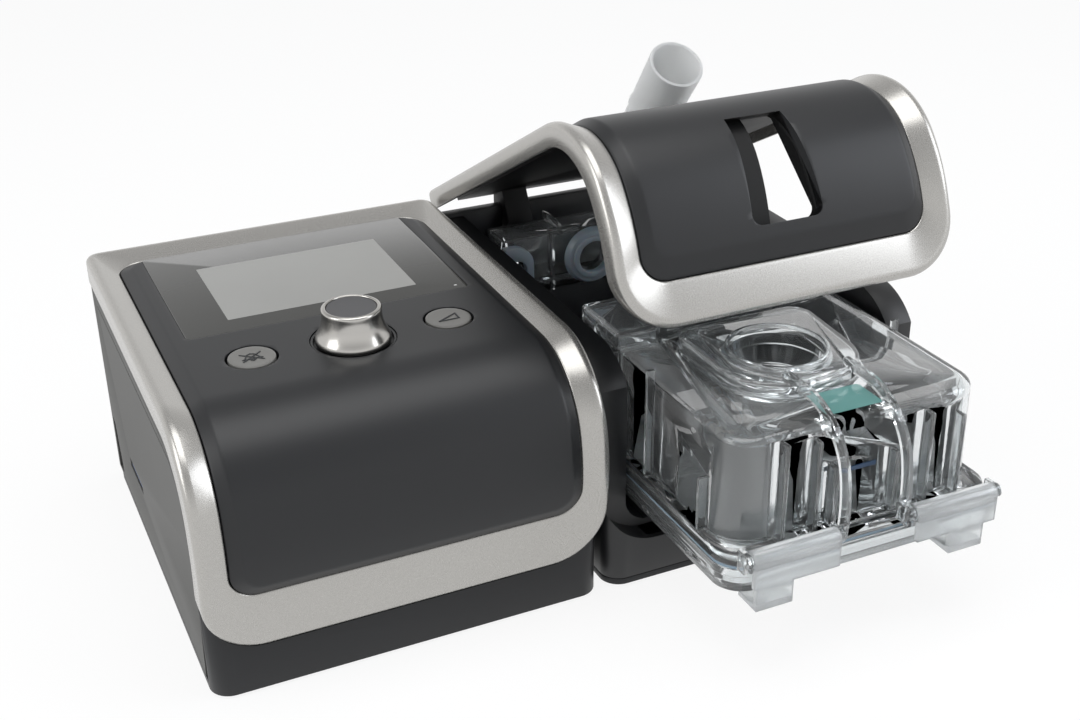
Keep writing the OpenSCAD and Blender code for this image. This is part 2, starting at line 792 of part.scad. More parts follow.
module filter_frame() {
    y0 = rear_y - wall - filter_t - fit;
    difference() {
        box([filter_x0 - wall, y0, filter_z0 - wall],
            [filter_x1 + wall, rear_y - eps, filter_z1 + wall]);
        box([filter_x0, y0 - 1, filter_z0], [filter_x1, rear_y + 1, filter_z1]);
    }
    for (x = [filter_x0 - eps, filter_x1 - cover_pin_l]) translate([x, cover_axis_y, cover_axis_z])
        rotate([0, 90, 0]) cylinder(d = cover_pin_d, h = cover_pin_l + eps);
    for (x = [filter_x0 - eps, filter_x1 - 2])
        box([x, y0, filter_z0 - eps], [x + 2 + eps, y0 + 1.5, filter_z1 + eps]);
}

module inlet_filter() color("#e9e9e4") {
    y0 = rear_y - wall - filter_t - fit + 1.5;
    box([filter_x0 + fit, y0 + fit / 2, filter_z0 + fit],
        [filter_x1 - fit, y0 + filter_t - 2.5, filter_z1 - fit]);
}

cover_t = 1.8;
cover_pin_d = 1.6;
cover_barrel_d = 3.6;
cover_axis_y = rear_y - cover_barrel_d / 2;
cover_axis_z = filter_z0 + fit + cover_barrel_d / 2;
module filter_cover() color("#454749") difference() {
    union() {
        box([filter_x0 + fit, rear_y - cover_t, cover_axis_z],
            [filter_x1 - fit, rear_y, filter_z1 - fit]);
        translate([filter_x0 + fit, cover_axis_y, cover_axis_z])
            rotate([0, 90, 0]) cylinder(d = cover_barrel_d, h = filter_x1 - filter_x0 - 2 * fit);
    }
    for (x = [filter_x0, filter_x1 - cover_pin_l - fit]) translate([x, cover_axis_y, cover_axis_z])
        rotate([0, 90, 0]) cylinder(d = cover_pin_d + 2 * run, h = cover_pin_l + fit);
    for (i = [0:7])
        box([filter_x0 + 5, rear_y - 3, filter_z0 + 7 + 3.4 * i],
            [filter_x1 - 5, rear_y + 1, filter_z0 + 8.8 + 3.4 * i]);
}

module silencer_foam() color("#5b5d5f")
    box([filter_x0 - 4, blower_y + volute_r + 3, filter_z0 - 6],
        [filter_x1 - 8, rear_y - wall - filter_t - 2 * fit, filter_z1 + 10]);

// Rear sockets
power_x = main_w - 26;
power_z = 30;
jack_d = 6.4;
jack_body = 11;
jack_l = 13;
module power_hole() translate([power_x, rear_y + 1, power_z]) rotate([90, 0, 0])
    cylinder(d = 10 + 2 * fit, h = wall + 2);
module power_inlet() color("#232425") difference() {
    union() {
        translate([power_x, rear_y - 0.2, power_z]) rotate([90, 0, 0]) cylinder(d = 10, h = wall + 0.2);
        box([power_x - jack_body / 2, rear_y - wall - jack_l, power_z - jack_body / 2],
            [power_x + jack_body / 2, rear_y - wall - fit / 2, power_z + jack_body / 2]);
    }
    difference() {
        translate([power_x, rear_y + 1, power_z]) rotate([90, 0, 0])
            cylinder(d = jack_d, h = wall + jack_l - 2);
        translate([power_x, rear_y - 2, power_z]) rotate([90, 0, 0])
            cylinder(d = 2, h = wall + jack_l - 2);
    }
}

port_x = main_w - 52;
port_w = 14;
port_h = 9;
module port_hole() box([port_x, rear_y - wall - 1, power_z - port_h / 2],
    [port_x + port_w, rear_y + 1, power_z + port_h / 2]);
module data_port_cover() color("#2b2c2e")
    box([port_x + fit, rear_y - wall - 0.5, power_z - port_h / 2 + fit],
        [port_x + port_w - fit, rear_y - 0.2, power_z + port_h / 2 - fit]);

// Memory card slot in the left side
card_w = 24;
card_t = 2.1;
card_l = 32;
card_back = 55;
card_y = frame_depth - card_back;
card_z = 26;
card_end = side_in + 0.5 + card_l;
module card_hole() box([-1, card_y - card_w / 2 - 1, card_z - 1],
    [side_in + wall + 1, card_y + card_w / 2 + 1, card_z + card_t + 1]);
module card_slot() color("#9a9da0") difference() {
    box([side_in + wall + fit / 2, card_y - card_w / 2 - 2, card_z - 2],
        [card_end + fit + 2, card_y + card_w / 2 + 2, card_z + card_t + 2]);
    box([0, card_y - card_w / 2 - fit, card_z - fit],
        [card_end + fit, card_y + card_w / 2 + fit, card_z + card_t + fit]);
}
module memory_card() color("#2d4f7c")
    box([card_end - card_l, card_y - card_w / 2, card_z],
        [card_end, card_y + card_w / 2, card_z + card_t]);

module air_coupling() color("#c9ced2") translate([0, air_y, air_z]) rotate([0, 90, 0]) {
    x0 = spout_end + fit;
    translate([0, 0, x0]) ring(air_d / 2 + 2, air_d / 2 - wall, main_w - 3 * wall - x0 - fit);
    translate([0, 0, x0]) ring(air_d / 2 - fit, air_d / 2 - wall, hum_x + side_wall - 3 - x0);
}

hook_w = 14;
hook_h = 5;
hook_z = 12;
hook_lip = 1.5;
hook_grip = side_in + wall + 2;
hook_front = 40;
hook_back = 17;
hook_spots = [hook_front, frame_depth - hook_back];
module dock_hooks() color("#2e3032") for (y = hook_spots) {
    box([main_w - hook_grip, y - hook_w / 2, hook_z],
        [hum_x + hook_grip, y + hook_w / 2, hook_z + hook_h]);
    box([hum_x + side_in + wall + fit / 2, y - hook_w / 2, hook_z - hook_lip],
        [hum_x + hook_grip, y + hook_w / 2, hook_z + eps]);
    box([main_w - hook_grip, y - hook_w / 2, hook_z - hook_lip],
        [main_w - side_in - wall - fit / 2, y + hook_w / 2, hook_z + eps]);
}

module feet(x0, x1) {
    for (x = [x0 + foot_in, x1 - foot_in])
        for (y = [foot_in, frame_depth - foot_in])
            translate([x, y, 0]) cylinder(d = foot_d, h = foot_h);
}
module main_feet() color("#1d1e1f") feet(0, main_w);
module humidifier_feet() color("#1d1e1f") feet(hum_x, total_w);

module screws(spots) {
    for (p = spots) translate([p[0], p[1], foot_h + 0.2]) {
        difference() {
            cylinder(d = screw_head_d, h = screw_head_t - 0.2);
            translate([0, 0, -1]) cylinder(d = 2.4, h = 1.7, $fn = 6);
        }
        cylinder(d = screw_d - 2 * run, h = screw_l);
    }
}
module main_screws() color("#8b8e90") screws(main_screw_spots);

// Humidifier housing
cav_x0 = hum_x + side_wall;
cav_x1 = total_w - side_wall;
cav_front = base_y + seat_in;
elbow_x = total_w - elbow_in;
seat_y = nose_y;

module humidifier_walls() {
    for (x = [[hum_x + side_in, cav_x0], [cav_x1, total_w - side_in]])
        along_x(x[0], x[1]) intersection() {
            region(seat_in, rear_y);
            zone(-reach, rear_y, floor_z - eps, reach);
        }
    box([hum_x + side_in, rear_y - 2 * wall, floor_z - eps], [total_w - side_in, rear_y, back_top]);
    for (x = lug_spots) hinge_lug(x);
}

// Hinge: an arm between two lugs at each side
lug_w = 4;
arm_spots = [hum_x + arm_in, elbow_x - elbow_d / 2 - arm_w - lug_w - 2];
lug_spots = [for (x = arm_spots) for (dx = [-lug_w - fit, arm_w + fit]) x + dx];
module hinge_lug(x) {
    difference() {
        union() {
            translate([x, hinge_y, hinge_z]) rotate([0, 90, 0]) cylinder(d = hinge_barrel_d, h = lug_w);
            box([x, rear_y - 1, hinge_z - hinge_barrel_d], [x + lug_w, hinge_y, hinge_z]);
        }
        translate([x - 1, hinge_y, hinge_z]) rotate([0, 90, 0]) cylinder(d = hinge_pin_d, h = lug_w + 2);
    }
}

module humidifier_base() color("#303234") {
    difference() {
        union() {
            intersection() {
                along_z(deck_z + fit, seam_z + frame_corner_r) house_plan(hum_x, total_w, 0);
                union() {
                    box([hum_x, -1, 0], [total_w, reach, floor_z]);
                    box([hum_x, -1, 0], [cav_x0, cav_front + 2, reach]);
                    box([cav_x1, -1, 0], [total_w, cav_front + 2, reach]);
                }
            }
            humidifier_walls();
            for (x = [cav_x0 - eps, cav_x1 - guide_w])
                box([x, guide_y0, floor_z - eps], [x + guide_w + eps, guide_y1, guide_z]);
        }
        along_z(0, floor_z - wall) house_plan(hum_x, total_w, wall);
        along_y(-reach, cav_front)
            tall_round(hum_x - fit, total_w + fit, seam_z - fit, frame_corner_r + fit);
        along_y(-reach, seat_y)
            tall_round(cav_x0, cav_x1, floor_z, opening_corner_r);
        box([heater_x0 + 6, heater_y0 + 6, floor_z - wall - 1],
            [heater_x0 + heater_w - 6, heater_y0 + heater_l - 6, floor_z + 1]);
        for (x = arm_spots) box([x - fit, rear_y - 2 * wall - 1, arm_low],
            [x + arm_w + fit, rear_y + 1, reach]);
        translate([elbow_x, rear_y + 1, elbow_z]) rotate([90, 0, 0])
            cylinder(d = elbow_d + 2 * run, h = stub_in + 1);
        translate([elbow_x, rear_y + 1, elbow_z]) rotate([90, 0, 0])
            cylinder(d = elbow_bore, h = reach / 8);
        translate([elbow_x - reach, rear_y - stub_in - elbow_bore / 2 - 2, elbow_z]) rotate([0, 90, 0])
            cylinder(d = elbow_bore, h = reach);
        translate([0, air_y, air_z]) rotate([0, 90, 0]) translate([0, 0, hum_x - 1])
            cylinder(d = air_d, h = side_wall + 2);
        for (y = hook_spots) box([hum_x - 1, y - hook_w / 2 - fit, hook_z - hook_lip - fit],
            [hum_x + side_in + wall + 1, y + hook_w / 2 + fit, hook_z + hook_h + fit]);
    }
}
stub_in = 14;
arm_low = 62;
guide_y0 = base_y + wall;
guide_y1 = partition_y - fit;

heater_x0 = (hum_x + total_w - heater_w) / 2;
heater_top = guide_z - fit;
module heater_plate() color("#b4b6b6") {
    box([heater_x0, heater_y0, heater_top - heater_t],
        [heater_x0 + heater_w, heater_y0 + heater_l, heater_top]);
    box([heater_x0 + 8, heater_y0 + 8, floor_z],
        [heater_x0 + heater_w - 8, heater_y0 + heater_l - 8, heater_top - heater_t + eps]);
}

module plate_gasket() color("#1f2021") difference() {
    box([heater_x0 - 2, heater_y0 - 2, floor_z],
        [heater_x0 + heater_w + 2, heater_y0 + heater_l + 2, heater_top - heater_t]);
    box([heater_x0 + 7, heater_y0 + 7, floor_z - 1],
        [heater_x0 + heater_w - 7, heater_y0 + heater_l - 7, heater_top]);
}

hum_screw_spots = [for (x = [hum_x + screw_in + 1, total_w - screw_in - 1]) for (y = [apron_back + 14,
    frame_depth - 1 - 12]) [x, y]];
module humidifier_bottom() color("#2a2c2e") difference() {
    union() {
        along_z(foot_h, deck_z) house_plan(hum_x, total_w, 0);
        for (p = hum_screw_spots) translate([p[0], p[1], deck_z - eps])
            cylinder(d = screw_boss_d, h = floor_z - wall - fit - deck_z);
    }
    for (p = hum_screw_spots) translate([p[0], p[1], 0]) {
        cylinder(d = screw_d, h = reach);
        cylinder(d = screw_head_d + 2 * fit, h = foot_h + screw_head_t);
    }
}
module humidifier_screws() color("#8b8e90") screws(hum_screw_spots);

// Rear partition with its two seals and the clear duct behind
inlet_x = 22.5;
inlet_bore = 9;
outlet_in = 60.5;
outlet_x = hum_x + outlet_in;
outlet_bore = 15;
seal_z = 80;
seal_t = 4;
seal_y = partition_y - 6;
nozzle_end = seal_y - fit;
module partition() color("#1d1e20") {
    box([cav_x0 + fit, partition_y, floor_z], [cav_x1 - fit, partition_y + wall, partition_top]);
    box([cav_x0 + fit, partition_y, partition_top - wall], [cav_x1 - fit, duct_back, partition_top]);
    for (x = [cav_x0 + 2, cav_x1 - 2 - wall])
        box([x, partition_y, floor_z], [x + wall, rear_y - 2 * wall - fit, partition_top - wall + eps]);
}

duct_side = 6;
duct_over = 20;
duct_rear = 20;
duct_x0 = cav_x0 + duct_side;
duct_x1 = outlet_x + duct_over;
duct_back = frame_depth - duct_rear;
duct_top = 92;
duct_t = 1.6;
duct_y = partition_y + 2;
rib_y = seal_y + seal_t + 0.5;
duct_rib_in = 22;
duct_rib_x = duct_x0 + duct_rib_in;
duct_rib_step = 14;
duct_rib_rise = 2;
duct_foot_z = partition_top + 4;
module air_duct() color("#b9c8d2") difference() {
    union() {
        difference() {
            box([duct_x0, duct_y, partition_top], [duct_x1, duct_back, duct_top]);
            box([duct_x0 + duct_t, duct_y + duct_t, partition_top + duct_t],
                [duct_x1 - duct_t, duct_back - duct_t, duct_top - duct_t]);
        }
        for (x = [duct_rib_x, duct_rib_x + duct_rib_step, duct_x1 - duct_rib_step + 4])
            box([x, rib_y, partition_top], [x + duct_t, duct_y + eps, duct_top + duct_rib_rise]);
        box([duct_rib_x, rib_y, duct_top],
            [duct_rib_x + duct_rib_step + duct_t, duct_y + 1, duct_top + duct_rib_rise]);
        box([duct_rib_x - 4, rib_y, duct_foot_z],
            [duct_rib_x + duct_rib_step + 4, duct_y + eps, duct_foot_z + duct_t]);
        box([duct_rib_x + 5, duct_y - eps, duct_top - eps],
            [duct_rib_x + 5 + duct_t, duct_back, duct_top + 2 * duct_rib_rise]);
        for (p = [[outlet_x, outlet_bore + 3], [hum_x + inlet_x, inlet_bore + 3]])
            translate([p[0], duct_y + eps, seal_z]) rotate([90, 0, 0])
                cylinder(d = p[1], h = duct_y - seal_y - seal_t - fit / 2);
    }
    for (p = [[outlet_x, outlet_bore], [hum_x + inlet_x, inlet_bore]])
        translate([p[0], duct_y + duct_t + 1, seal_z]) rotate([90, 0, 0])
            cylinder(d = p[1], h = duct_t + 8);
}

// Plate round the air inlet with one large round corner, about the bore's axis
inlet_seal_lo = [-5.5, -13];
inlet_seal_hi = [8, 11];
inlet_seal_r = 9;
module inlet_seal() color("#a9bdcc") translate([hum_x + inlet_x, seal_y + seal_t, seal_z])
    rotate([90, 0, 0])
    difference() {
        linear_extrude(seal_t) union() {
            difference() {
                translate(inlet_seal_lo) square(inlet_seal_hi - inlet_seal_lo);
                translate(inlet_seal_hi - [inlet_seal_r, inlet_seal_r]) square(inlet_seal_r + 1);
            }
            translate(inlet_seal_hi - [inlet_seal_r, inlet_seal_r]) intersection() {
                circle(inlet_seal_r);
                square(inlet_seal_r + 1);
            }
        }
        translate([0, 0, -1]) cylinder(d = inlet_bore, h = seal_t + 2);
    }

outlet_seal_d = 27;
outlet_neck_d = 20;
module outlet_seal() color("#dfe5ea") translate([outlet_x, seal_y + seal_t, seal_z]) rotate([90, 0, 0]) {
    difference() {
        union() {
            cylinder(d1 = outlet_seal_d, d2 = outlet_seal_d - 3, h = seal_t - 1);
            cylinder(d = outlet_neck_d, h = seal_t);
        }
        translate([0, 0, -1]) cylinder(d = outlet_bore, h = seal_t + 2);
    }
}

module hinge_pins() color("#a7a9aa") for (i = [0, 1])
    translate([arm_spots[i] - lug_w - fit, hinge_y, hinge_z]) rotate([0, 90, 0])
        cylinder(d = hinge_pin_d, h = arm_w + 2 * lug_w + 2 * fit);

// Outlet elbow: stub, bend and a straight run that widens at a shoulder
bend_y = frame_depth + bend_behind;
shoulder_at = elbow_run - mouth_deep - 2;
module at_bend_end() {
    translate([elbow_x, bend_y, elbow_z + bend_r]) rotate([bend_turn, 0, 0])
        translate([0, 0, -bend_r]) children();
}
bend_step = 0.6;
module elbow_bend(d) {
    translate([elbow_x, bend_y, elbow_z + bend_r]) rotate([90, 0, 90]) rotate([0, 0, -90])
        rotate_extrude(angle = bend_turn) translate([bend_r, 0]) circle(d = d);
}
module elbow_stub(d, h) translate([elbow_x, bend_y + 1, elbow_z]) rotate([90, 0, 0])
    cylinder(d = d, h = h + 1);
module elbow_straight() at_bend_end() rotate([-90, 0, 0]) children();
module outlet_elbow() color("#d5dde2") difference() {
    union() {
        elbow_stub(elbow_d, bend_y - rear_y + stub_in);
        elbow_bend(elbow_d - bend_step);
        elbow_straight() {
            translate([0, 0, -1]) cylinder(d = elbow_d, h = shoulder_at + 1);
            translate([0, 0, shoulder_at - 1.5]) cylinder(d = elbow_d + 1.8, h = 3);
            translate([0, 0, shoulder_at]) cylinder(d1 = elbow_d + 0.8, d2 = mouth_d,
                h = elbow_run - shoulder_at);
        }
    }
    elbow_stub(elbow_bore, bend_y);
    elbow_bend(elbow_bore - bend_step);
    elbow_straight() {
        translate([0, 0, -1]) cylinder(d = elbow_bore, h = elbow_run + 2);
        translate([0, 0, elbow_run - mouth_deep]) cylinder(d = mouth_bore, h = mouth_deep + 1);
    }
}

// Lid: drawn shut and turned open about the hinge
module opened() translate([0, hinge_y, hinge_z]) rotate([-lid_open, 0, 0])
    translate([0, -hinge_y, -hinge_z]) children();

module window_hole() {
    x = hum_x + window_at;
    along_y(-reach, nose_y) polygon([
        [x - window_w / 2, window_z], [x + window_w / 2, window_z],
        [x + window_top_w / 2, window_top_z], [x - window_top_w / 2, window_top_z],
    ]);
}

module lid_bezel() color("#c9c7c3") opened()
    frame_skin(hum_x, total_w, lid_rail_w, lid_bar_w, lid_skirt);

module lid_panel() color("#38393b") opened() difference() {
    frame_plug(hum_x, total_w, lid_rail_w, lid_bar_w);
    window_hole();
}

liner_t = 2;
liner_low = 28;
module lid_liner() color("#1b1c1d") opened() difference() {
    union() {
        along_x(cav_x0 + 1, cav_x1 - 1) intersection() {
            peel(panel_in + fit / 2, panel_in + liner_t, rear_y - 1);
            above(liner_low);
        }
        for (x = arm_spots) {
            translate([x, hinge_y, hinge_z]) rotate([0, 90, 0]) cylinder(d = hinge_barrel_d, h = arm_w);
            along_x(x, x + arm_w) polygon([
                [hinge_y - arm_deep, top_at(hinge_y, panel_in + 1)],
                    [hinge_y - 3, top_at(hinge_y, panel_in + 1)],
                [hinge_y, hinge_z + hinge_barrel_d / 2], [hinge_y, hinge_z - hinge_barrel_d / 2],
                [hinge_y - 6, hinge_z - arm_tail], [hinge_y - arm_deep, hinge_z - arm_tail],
            ]);
        }
    }
    window_hole();
    for (x = arm_spots) translate([x - 1, hinge_y, hinge_z]) rotate([0, 90, 0])
        cylinder(d = hinge_pin_d + 2 * run, h = arm_w + 2);
}
arm_deep = 14;
arm_tail = 19;

module lid_seal() color("#c3ccd3") opened() {
    z1 = top_at(tower_y, panel_in + liner_t) + 0.2;
    translate([hum_x + tower_at, tower_y, tower_top + fit])
        ring(tower_r + 1, tower_r - tower_t - 1, z1 - tower_top - 2 * fit - 0.25);
}

// Water chamber: drawn pushed home and slid out to the front
module pulled() translate([0, -chamber_out, 0]) children();
flange_x0 = (hum_x + total_w - flange_w) / 2;
flange_x1 = flange_x0 + flange_w;
body_x0 = flange_x0 + body_in;
body_x1 = flange_x1 - body_in;
body_front = flange_front + 7;
body_back = flange_back - body_in;
gasket_t = 1.2;
tower_x = hum_x + tower_at;
plate_x0 = heater_x0 - 1;
plate_y0 = heater_y0 - 3;
plate_y1 = heater_y0 + heater_l + 3;

module flange_plan(d) round_rect(flange_x0 + d, flange_front + d, flange_x1 - d, flange_back - d,
    flange_r - d);
module body_plan(d) round_rect(body_x0 + d, body_front + d, body_x1 - d, body_back - d, body_r - d);

module chamber_tray() color("#c2d2dc") pulled() difference() {
    union() {
        along_z(tray_z, joint_z - gasket_t) flange_plan(1);
        along_z(joint_z - gasket_t - 3, joint_z - gasket_t) flange_plan(0);
        for (y = [flange_front + 26, flange_front + 58])
            for (x = [flange_x0 + 0.4, flange_x1 - 1.4])
                box([x, y, tray_z + 1.5], [x + 1, y + 4, tray_z + 3]);
    }
    along_z(tray_z + clear_t, joint_z) flange_plan(body_in + clear_t);
    box([plate_x0 + 3, plate_y0 + 3, tray_z - 1], [plate_x0 + heater_w - 4, plate_y1 - 3, joint_z]);
}

module chamber_plate() color("#b9bcbd") pulled() {
    box([plate_x0 + 3 + fit / 2, plate_y0 + 3 + fit / 2, tray_z],
        [plate_x0 + heater_w - 4 - fit / 2, plate_y1 - 3 - fit / 2, tray_z + clear_t + 0.1]);
    box([plate_x0, plate_y0, tray_z + clear_t + 0.05],
        [plate_x0 + heater_w - 1, plate_y1, tray_z + clear_t + 1.4]);
}

module chamber_gasket() color("#8fa6b8") pulled() along_z(joint_z - gasket_t, joint_z) difference() {
    flange_plan(0.6);
    flange_plan(body_in + clear_t);
}

// Raised platform round the port tower, inside the chamber's top
module platform_plan(d) {
    x0 = tower_x - 24.5 + d;
    x1 = tower_x + 38 - d;
    y0 = tower_y - 26 + d;
    y1 = tower_y + 32 - d;
    difference() {
        round_rect(x0, y0, x1, y1, 10 - d);
        polygon([[x1 - 34, y0 - 1], [x1 + 1, y0 - 1], [x1 + 1, y0 + 26]]);
    }
}
platform_top = body_top + 5;

module chamber_body() color("#c8d6df") pulled() difference() {
    union() {
        along_z(joint_z, flange_top) flange_plan(0);
        along_z(flange_top - eps, body_top) body_plan(0);
        along_z(body_top - eps, platform_top) platform_plan(0);
        translate([tower_x, tower_y, body_top - eps]) cylinder(r = tower_r, h = tower_top - body_top);
        inlet_block(0);
        translate([outlet_x, nozzle_end, seal_z]) rotate([90, 0, 0])
            cylinder(d = outlet_bore + 2 * clear_t, h = nozzle_end - body_back + 1);
        grip_arch();
        body_ribs();
        clip_pivots();
    }
    along_z(joint_z - 1, body_top - clear_t) body_plan(clear_t);
    along_z(body_top - clear_t - eps, platform_top - clear_t) platform_plan(clear_t);
    translate([tower_x, tower_y, body_top - 3]) cylinder(r = tower_r - tower_t, h = reach);
    inlet_block(clear_t);
    translate([outlet_x, nozzle_end + 1, seal_z]) rotate([90, 0, 0])
        cylinder(d = outlet_bore, h = nozzle_end - body_back + 6);
    translate([hum_x + inlet_x, nozzle_end + 1, seal_z]) rotate([90, 0, 0])
        cylinder(d = inlet_bore, h = 12);
}

module inlet_block(d) {
    x0 = body_x0 + d;
    x1 = body_x0 + 20 - d;
    box([x0, body_back - 20 + d, d > 0 ? joint_z + 6 : flange_top - eps],
        [x1, nozzle_end - d, body_top + 6 - d]);
}

module grip_arch() {
    for (x = [tower_x - arch_w / 2 + 2, tower_x + arch_w / 2])
        along_x(x, x + 2.4) intersection() {
            peel(arch_in, arch_in + 7, body_front + 30);
            zone(-reach, body_front + 16, flange_top - eps, body_top + 4);
        }
    for (x = [tower_x - arch_w / 2 + 2, tower_x + arch_w / 2])
        box([x, flange_front + 3, flange_top - eps], [x + 2.4, body_front + 1, body_top - 16]);
}

// Upright ribs on the side walls: [distance from the flange's front, height above the flange]
side_ribs = [[16, 20], [44, 42], [62, 42], [body_back - flange_front - 15.3, 36]];
module body_ribs() {
    t = 1.6;
    for (rib = side_ribs) {
        box([body_x0 - 2.6, flange_front + rib[0], flange_top - eps],
            [body_x0 + eps, flange_front + rib[0] + 5, flange_top + rib[1]]);
        box([body_x1 - eps, flange_front + rib[0], flange_top - eps],
            [body_x1 + 2.6, flange_front + rib[0] + 5, flange_top + rib[1]]);
    }
    for (x = [body_x0 + 17, body_x0 + 26, body_x1 - 26, body_x1 - 14])
        box([x, body_front - 2.4, flange_top - eps], [x + t, body_front + eps, flange_top + 30]);
}

// Clips that hook under the tray; each turns on a barrel in front of the flange
clip_z = (joint_z + flange_top) / 2 + 4;
clip_y = flange_front - clip_barrel_d / 2 - 0.6;
clip_t = 2.2;
module clip(x0, x1, foot_x) {
    difference() {
        union() {
            translate([x0, clip_y, clip_z]) rotate([0, 90, 0]) cylinder(d = clip_barrel_d, h = x1 - x0);
            box([x0, clip_y - clip_barrel_d / 2, joint_z - 4],
                [x1, clip_y - clip_barrel_d / 2 + clip_t, clip_z]);
            box([foot_x, clip_y - clip_barrel_d / 2, tray_z - fit - clip_t],
                [foot_x + clip_foot_w, clip_y - clip_barrel_d / 2 + clip_t, clip_z]);
            box([foot_x, clip_y - clip_barrel_d / 2, tray_z - fit - clip_t],
                [foot_x + clip_foot_w, flange_front + 4, tray_z - fit]);
        }
        translate([x0 - 1, clip_y, clip_z]) rotate([0, 90, 0])
            cylinder(d = clip_pin_d + 2 * run, h = x1 - x0 + 2);
    }
}
clip_pin_d = 2.6;
left_clip_x0 = flange_x0 + 6;
right_clip_x1 = flange_x1 - 6;
ear_t = 2;
ear_r = 2.6;
module left_clip() color("#dde6ea") pulled() clip(left_clip_x0, left_clip_x0 + clip_l, left_clip_x0 + 1);
module right_clip() color("#dde6ea") pulled() clip(right_clip_x1 - clip_l, right_clip_x1,
    right_clip_x1 - clip_foot_w - 5);

module clip_pivots() for (x0 = [left_clip_x0, right_clip_x1 - clip_l]) {
    translate([x0 - fit - ear_t, clip_y, clip_z]) rotate([0, 90, 0])
        cylinder(d = clip_pin_d, h = clip_l + 2 * fit + 2 * ear_t);
    for (x = [x0 - fit - ear_t, x0 + clip_l + fit]) {
        translate([x, clip_y, clip_z]) rotate([0, 90, 0]) cylinder(r = ear_r, h = ear_t);
        box([x, clip_y, joint_z + 1], [x + ear_t, flange_front + 1, clip_z + ear_r]);
    }
}

mark_z = 67;
module fill_mark() color("#2b4a6e") pulled()
    box([tower_x - arch_w / 2 + 6, body_front - 0.5, mark_z],
        [tower_x + arch_w / 2 - 1, body_front, mark_z + 1.6]);

// Origin: middle of the plan's bounding box, on the surface that the feet stand on
front_end = clip_y - chamber_out - clip_barrel_d / 2;
rear_end = bend_y + bend_r + (elbow_d - bend_step) / 2;
module placed() translate([-total_w / 2, -(front_end + rear_end) / 2, 0]) children();

placed() main_base();
placed() main_shell();
placed() bezel_frame();
placed() top_panel();
placed() display_lens();
placed() lcd_module();
placed() status_lamp();
placed() knob_well();
placed() knob();
placed() knob_insert();
placed() encoder_shaft();
placed() encoder_body();
placed() mute_button();
placed() ramp_button();
placed() button_switches();
placed() control_board();
placed() main_board();
placed() volute_lower();
placed() volute_upper();
placed() impeller();
placed() blower_motor();
placed() blower_dampers();
placed() silencer_foam();
placed() inlet_filter();
placed() filter_cover();
placed() power_inlet();
placed() data_port_cover();
placed() card_slot();
placed() memory_card();
placed() air_coupling();
placed() dock_hooks();
placed() main_feet();
placed() main_screws();
placed() humidifier_base();
placed() humidifier_bottom();
placed() heater_plate();
placed() plate_gasket();
placed() partition();
placed() inlet_seal();
placed() outlet_seal();
placed() air_duct();
placed() hinge_pins();
placed() outlet_elbow();
placed() lid_bezel();
placed() lid_panel();
placed() lid_liner();
placed() lid_seal();
placed() humidifier_feet();
placed() humidifier_screws();
placed() chamber_body();
placed() chamber_tray();
placed() chamber_gasket();
placed() chamber_plate();
placed() left_clip();
placed() right_clip();
placed() fill_mark();
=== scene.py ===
import bpy
import bmesh
import json
import math
from mathutils import Matrix, Vector


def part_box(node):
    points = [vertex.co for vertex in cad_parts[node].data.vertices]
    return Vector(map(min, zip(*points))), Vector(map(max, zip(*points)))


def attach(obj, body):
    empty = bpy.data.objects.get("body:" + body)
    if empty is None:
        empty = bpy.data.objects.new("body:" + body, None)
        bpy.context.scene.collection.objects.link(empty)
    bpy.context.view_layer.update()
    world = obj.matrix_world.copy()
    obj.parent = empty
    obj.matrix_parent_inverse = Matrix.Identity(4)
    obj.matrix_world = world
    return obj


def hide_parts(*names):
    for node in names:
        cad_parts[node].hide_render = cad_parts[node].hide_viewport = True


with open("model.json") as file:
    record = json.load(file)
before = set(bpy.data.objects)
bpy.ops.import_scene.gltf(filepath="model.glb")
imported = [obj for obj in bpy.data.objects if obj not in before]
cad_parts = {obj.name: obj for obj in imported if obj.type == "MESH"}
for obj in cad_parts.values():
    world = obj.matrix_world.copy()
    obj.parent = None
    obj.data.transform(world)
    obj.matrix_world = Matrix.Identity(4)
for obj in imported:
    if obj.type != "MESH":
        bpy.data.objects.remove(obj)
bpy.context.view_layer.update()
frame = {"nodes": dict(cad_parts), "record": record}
mm = 0.001
print("frame loaded:", len(frame["nodes"]), "nodes")

# everything is drawn in millimetres: x from the main unit's left side, y from the front of the silver
# frames, z from the table
frameDepth = 177.0
frameLow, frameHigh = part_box("bezel_frame")
originX = frameLow.x
originY = frameHigh.y - frameDepth * mm


def place(x, y, z):
    return Vector((originX + x * mm, originY + y * mm, z * mm))


# the camera, fitted to the edges of both housings in the photograph
camera = {
    "x": -61.85, "y": -411.19, "z": 332.18,
    "yaw": 24.54, "pitch": 26.51, "roll": -0.74,
    "focalPixels": 1462.1, "imageWidth": 1080, "sensorWidth": 36.0, "clipStart": 0.01,
}
yaw, pitch, roll = (math.radians(camera[key]) for key in ("yaw", "pitch", "roll"))
cameraData = bpy.data.cameras.new("camera")
cameraData.sensor_width = camera["sensorWidth"]
cameraData.lens = camera["focalPixels"] / camera["imageWidth"] * camera["sensorWidth"]
cameraData.clip_start = camera["clipStart"]
cameraObject = bpy.data.objects.new("camera", cameraData)
bpy.context.scene.collection.objects.link(cameraObject)
ahead = Vector((math.sin(yaw) * math.cos(pitch), math.cos(yaw) * math.cos(pitch), -math.sin(pitch)))
sideways = Vector((math.cos(yaw), -math.sin(yaw), 0))
upward = sideways.cross(ahead)
across = sideways * math.cos(roll) + upward * math.sin(roll)
upright = upward * math.cos(roll) - sideways * math.sin(roll)
facing = Matrix((across, upright, -ahead)).transposed().to_4x4()
cameraObject.matrix_world = Matrix.Translation(place(camera["x"], camera["y"], camera["z"])) @ facing
bpy.context.scene.camera = cameraObject
print("camera set")


